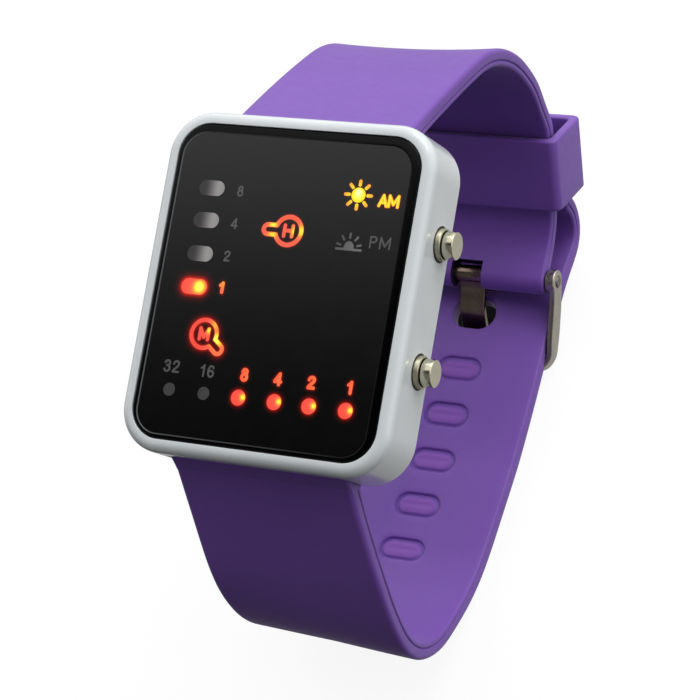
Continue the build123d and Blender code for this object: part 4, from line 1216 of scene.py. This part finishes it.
sx_, sy_ = 8.66, 11.96
caps = [((sx_, sy_), (sx_, sy_), 0.9)]
flat_mark("sun_disc", caps, lambda x, y: 0.55 + 0.2 * smooth01(0.9, 0.5, np.hypot(x - sx_, y - sy_)) + 0.4 * blob(x, y, sx_, sy_ + 0.35, 0.35), sun_lit)
glowing.append((caps, 0.2, 0.3))
caps = []
for i in range(8):
    a = math.radians(45 * i)
    caps.append(((sx_ + 1.2 * math.cos(a), sy_ + 1.2 * math.sin(a)), (sx_ + 1.66 * math.cos(a), sy_ + 1.66 * math.sin(a)), 0.2))
flat_mark("sun_rays", caps, lambda x, y: 0.5 - 0.3 * smooth01(1.2, 1.8, np.hypot(x - sx_, y - sy_)), sun_lit)
glowing.append((caps, 0.18, 0.3))
caps = word("AM", 12.64, 11.54, 1.66, 0.4, gap=-0.06, squeeze=0.98)
flat_mark("am_letters", caps, lambda x, y, c=caps: 0.12 + 0.6 * smooth01(0.0, 0.16, -cap_dist(x, y, c)), sun_lit, step=0.09)
glowing.append((caps, 0.2, 0.35))

px, py = 8.55, 6.45
caps = [((px - 1.55, py - 0.98), (px + 1.6, py - 0.98), 0.14)]
for i in range(13):
    a = math.radians(180 * i / 12)
    caps.append(((px, py - 0.86), (px + 0.5 * math.cos(a), py - 0.86 + 0.72 * math.sin(a)), 0.16))
# painted shading: the sunrise icon is lighter towards the right
flat_mark("sunrise_icon", caps, lambda x, y: 0.3 + 0.45 * smooth01(px - 1.5, px + 1.4, x), mark_unlit)
caps = []
for a in (12, 50, 90, 130, 168):
    c, s = math.cos(math.radians(a)), math.sin(math.radians(a))
    caps.append(((px + 1.12 * c, py - 0.72 + 1.12 * s), (px + 1.56 * c, py - 0.72 + 1.62 * s), 0.13))
# painted shading: the rays are lighter towards the right
flat_mark("sunrise_rays", caps, lambda x, y: 0.1 + 0.5 * smooth01(px - 1.5, px + 1.4, x), mark_unlit)
flat_mark("pm_letters", word("PM", 12.44, 6.56, 1.5, 0.2, gap=0.22), lambda x, y: 0.2 + 0 * x, mark_unlit)


def window():
    hx, hy = 32.1 / 2, 38.4 / 2
    loops = [(hx, hy, 4.0, -1.6), (hx, hy, 4.0, -0.28), (hx - 0.03, hy - 0.03, 3.97, -0.18), (hx - 0.1, hy - 0.1, 3.9, -0.08),
             (hx - 0.2, hy - 0.2, 3.8, -0.02), (hx - 0.34, hy - 0.34, 3.66, 0.0)]
    inner = dict(l=0.62, r=1.1, t=1.0, b=0.5)
    K = 14
    verts, faces, ids = [], [], []
    for a, b, r, z in loops:
        for x, y in rounded_rect(a, b, r, K):
            verts.append((x, y, z))
    n = len(verts) // len(loops)

    def inner_loop(extra):
        x0, x1 = -hx + inner["l"] + extra, hx - inner["r"] - extra
        y0, y1 = -hy + inner["b"] + extra, hy - inner["t"] - extra
        return [(x + (x0 + x1) / 2, y + (y0 + y1) / 2) for x, y in rounded_rect((x1 - x0) / 2, (y1 - y0) / 2, 3.1 - extra, K)]

    rim = inner_loop(0.0)
    for x, y in rim:
        verts.append((x, y, 0.0))
    step = inner_loop(0.16)
    for x, y in step:
        verts.append((x, y, PANEL_Z))
    rows = len(loops) + 2
    for r in range(rows - 1):
        for i in range(n):
            j = (i + 1) % n
            faces.append((r * n + i, r * n + j, (r + 1) * n + j, (r + 1) * n + i))
            ids.append(1 if r == rows - 2 else 0)
    faces.append(tuple(range(n)))
    ids.append(0)
    # the panel, with small faces only round what is lit
    pts = list(step)
    edges = [(i, (i + 1) % n) for i in range(n)]
    gx, gy = np.meshgrid(np.arange(-15.5, 15.5, 0.2), np.arange(-18.7, 18.7, 0.2))
    gx, gy = gx.ravel(), gy.ravel()
    near = np.full(gx.shape, 1e9)
    for caps, reach, k in glowing:
        near = np.minimum(near, cap_dist(gx, gy, caps) - 2.6 * reach)
    fine = near < 0
    ix, iy = np.round((gx + 15.5) / 0.2).astype(int), np.round((gy + 18.7) / 0.2).astype(int)
    coarse = (ix % 6 == 0) & (iy % 6 == 0)
    take = fine | coarse
    sx0, sy0 = np.array(step).min(0)
    sx1, sy1 = np.array(step).max(0)
    r = 3.0
    dx = np.maximum(np.abs(gx - (sx0 + sx1) / 2) - ((sx1 - sx0) / 2 - r), 0)
    dy = np.maximum(np.abs(gy - (sy0 + sy1) / 2) - ((sy1 - sy0) / 2 - r), 0)
    take &= (np.hypot(dx, dy) < r - 0.1)
    pts += list(zip(gx[take], gy[take]))
    vs, _, fs, *_r = delaunay_2d_cdt([Vector((float(p[0]), float(p[1]))) for p in pts], edges, [], 0, 1e-5)
    base = len(verts)
    verts += [(v[0], v[1], PANEL_Z) for v in vs]
    for f in fs:
        faces.append(tuple(base + i for i in f))
        ids.append(2)
    me = raw_mesh("window_face", verts, faces, ids)
    finish_mesh(me, 26.0, merge=1e-6)
    bm = bmesh.new()
    bm.from_mesh(me)
    for e in bm.edges:
        if len(e.link_faces) == 2 and e.link_faces[0].material_index != e.link_faces[1].material_index:
            e.smooth = False
    bm.to_mesh(me)
    bm.free()
    for m in (glass_edge, groove, panel):
        me.materials.append(m.m)
    # light that spills over the panel round the lit marks
    co = np.zeros(len(me.vertices) * 3)
    me.vertices.foreach_get("co", co)
    co = co.reshape(-1, 3) * 1000 - SH
    x, y = co[:, 0], co[:, 1] * CT + co[:, 2] * ST
    g = np.zeros(len(x))
    for caps, reach, k in glowing:
        g = np.maximum(g, k * np.exp(-np.clip(cap_dist(x, y, caps), 0, None) / (reach * 0.55)))
    # painted highlight on the hairline step, rising towards the left edge
    at = me.attributes.new("edge", "FLOAT", "POINT")
    at.data.foreach_set("value", smooth01(-10.0, -14.5, x).astype(np.float32))
    at = me.attributes.new("glow", "FLOAT", "POINT")
    at.data.foreach_set("value", np.clip(g - 0.02, 0, 1).astype(np.float32))
    return new_object("window_face", me, "root", ["display_window"])


window()

# ---------------------------------------------------------------------------
# floor and light
# ---------------------------------------------------------------------------
floor_mat = bpy.data.materials.new("floor_pale")
floor_mat.use_nodes = True
nt = floor_mat.node_tree
nt.nodes.clear()
o = nt.nodes.new("ShaderNodeOutputMaterial")
mix = nt.nodes.new("ShaderNodeAddShader")
em = nt.nodes.new("ShaderNodeEmission")
df = nt.nodes.new("ShaderNodeBsdfDiffuse")
em.inputs["Color"].default_value = (1, 1, 1, 1)
em.inputs["Strength"].default_value = 0.9
# painted shadow: the table is painted dark in a small spot under the strap, where the tongue slot shows it
_c, _p = row(CAM_AT), row((0.0, 8.0, -59.6))
_k = _c[2] / (_c[2] - _p[2])
_spot = _c + (_p - _c) * _k
_tc = nt.nodes.new("ShaderNodeTexCoord")
_d = nt.nodes.new("ShaderNodeVectorMath")
_d.operation = "DISTANCE"
_d.inputs[1].default_value = (float(_spot[0]) - 0.0002, float(_spot[1]) + 0.0005, 0.0)
nt.links.new(_tc.outputs["Object"], _d.inputs[0])
_r = nt.nodes.new("ShaderNodeMapRange")
_r.interpolation_type = "SMOOTHSTEP"
_r.inputs["From Min"].default_value, _r.inputs["From Max"].default_value = 0.0042, 0.0064
_r.inputs["To Min"].default_value, _r.inputs["To Max"].default_value = 0.012, 1.0
nt.links.new(_d.outputs["Value"], _r.inputs["Value"])
# and a painted soft shadow under the lowest run of the strap
_o = nt.nodes.new("ShaderNodeVectorMath")
_o.operation = "SUBTRACT"
_o.inputs[1].default_value = (-0.0011, 0.006, 0.0)
nt.links.new(_tc.outputs["Object"], _o.inputs[0])
_e = nt.nodes.new("ShaderNodeVectorMath")
_e.operation = "MULTIPLY"
_e.inputs[1].default_value = (1 / 0.0098, 1 / 0.025, 0.0)
nt.links.new(_o.outputs[0], _e.inputs[0])
_l = nt.nodes.new("ShaderNodeVectorMath")
_l.operation = "LENGTH"
nt.links.new(_e.outputs[0], _l.inputs[0])
_w = nt.nodes.new("ShaderNodeMapRange")
_w.interpolation_type = "SMOOTHSTEP"
_w.inputs["From Min"].default_value, _w.inputs["From Max"].default_value = 0.15, 1.0
_w.inputs["To Min"].default_value, _w.inputs["To Max"].default_value = 0.14, 0.9
nt.links.new(_l.outputs["Value"], _w.inputs["Value"])
_s = nt.nodes.new("ShaderNodeMath")
_s.operation = "MULTIPLY"
nt.links.new(_r.outputs["Result"], _s.inputs[0])
nt.links.new(_w.outputs["Result"], _s.inputs[1])
nt.links.new(_s.outputs[0], em.inputs["Strength"])
_q = nt.nodes.new("ShaderNodeMath")
_q.operation = "MULTIPLY"
_q.inputs[1].default_value = 0.144
nt.links.new(_s.outputs[0], _q.inputs[0])
nt.links.new(_q.outputs[0], df.inputs["Color"])
nt.links.new(em.outputs[0], mix.inputs[0])
nt.links.new(df.outputs[0], mix.inputs[1])
nt.links.new(mix.outputs[0], o.inputs["Surface"])
me = bpy.data.meshes.new("floor")
me.from_pydata([(-3, -3, -0.00002), (3, -3, -0.00002), (3, 3, -0.00002), (-3, 3, -0.00002)], [], [(0, 1, 2, 3)])
me.materials.append(floor_mat)
floor = bpy.data.objects.new("floor", me)
scene.collection.objects.link(floor)
floor.visible_diffuse = False
floor.visible_glossy = False
floor.visible_transmission = False
floor.visible_shadow = False

world = bpy.data.worlds.new("studio")
scene.world = world
world.use_nodes = True
nt = world.node_tree
nt.nodes.clear()
wo = nt.nodes.new("ShaderNodeOutputWorld")
bg = nt.nodes.new("ShaderNodeBackground")
tc_ = nt.nodes.new("ShaderNodeTexCoord")
sp = nt.nodes.new("ShaderNodeSeparateXYZ")
nt.links.new(tc_.outputs["Generated"], sp.inputs[0])


def math_node(op, a, b=None):
    n = nt.nodes.new("ShaderNodeMath")
    n.operation = op
    for i, v in enumerate((a, b)):
        if v is None:
            continue
        if isinstance(v, (int, float)):
            n.inputs[i].default_value = v
        else:
            nt.links.new(v, n.inputs[i])
    return n.outputs[0]


def smooth_node(v, a, b, lo, hi):
    n = nt.nodes.new("ShaderNodeMapRange")
    n.interpolation_type = "SMOOTHSTEP"
    n.inputs["From Min"].default_value = a
    n.inputs["From Max"].default_value = b
    n.inputs["To Min"].default_value = lo
    n.inputs["To Max"].default_value = hi
    nt.links.new(v, n.inputs["Value"])
    return n.outputs["Result"]


back = smooth_node(sp.outputs["Y"], -0.222, -0.055, 0.0, 1.13)
right = smooth_node(sp.outputs["X"], 0.1, 0.9, 0.0, 0.3)
front = smooth_node(sp.outputs["Y"], -0.32, -0.65, 0.0, 0.15)
lp = nt.nodes.new("ShaderNodeLightPath")
under = math_node("ADD", math_node("MULTIPLY", lp.outputs["Is Glossy Ray"], 0.3), 0.13)
_a = nt.nodes.new("ShaderNodeMapRange")
_a.interpolation_type = "SMOOTHSTEP"
_a.inputs["From Min"].default_value, _a.inputs["From Max"].default_value = -0.1, 0.05
nt.links.new(sp.outputs["Z"], _a.inputs["Value"])
nt.links.new(under, _a.inputs["To Min"])
above = _a.outputs["Result"]
sky = math_node("MULTIPLY", math_node("ADD", math_node("ADD", back, right), math_node("ADD", front, 0.022)), above)
seen = nt.nodes.new("ShaderNodeMix")
seen.data_type = "FLOAT"
nt.links.new(lp.outputs["Is Camera Ray"], seen.inputs[0])
nt.links.new(sky, seen.inputs[2])
seen.inputs[3].default_value = 1.0
bg.inputs["Color"].default_value = (1, 1, 1, 1)
nt.links.new(seen.outputs[0], bg.inputs["Strength"])
nt.links.new(bg.outputs[0], wo.inputs["Surface"])


def area(name, at, to, size, power, col=(1, 1, 1)):
    d = bpy.data.lights.new(name, "AREA")
    d.shape = "RECTANGLE"
    d.size, d.size_y = size
    d.energy = power
    d.color = col
    ob = bpy.data.objects.new(name, d)
    scene.collection.objects.link(ob)
    ob.location = at
    ob.rotation_mode = "QUATERNION"
    ob.rotation_quaternion = (Vector(to) - Vector(at)).to_track_quat("-Z", "Y")
    return ob


area("key", (0.10, 0.30, 0.42), (0, 0, 0.035), (0.28, 0.2), 0.75)

scene.view_settings.view_transform = "Standard"
scene.view_settings.look = "None"
scene.view_settings.exposure = 0.0
scene.view_settings.gamma = 1.0
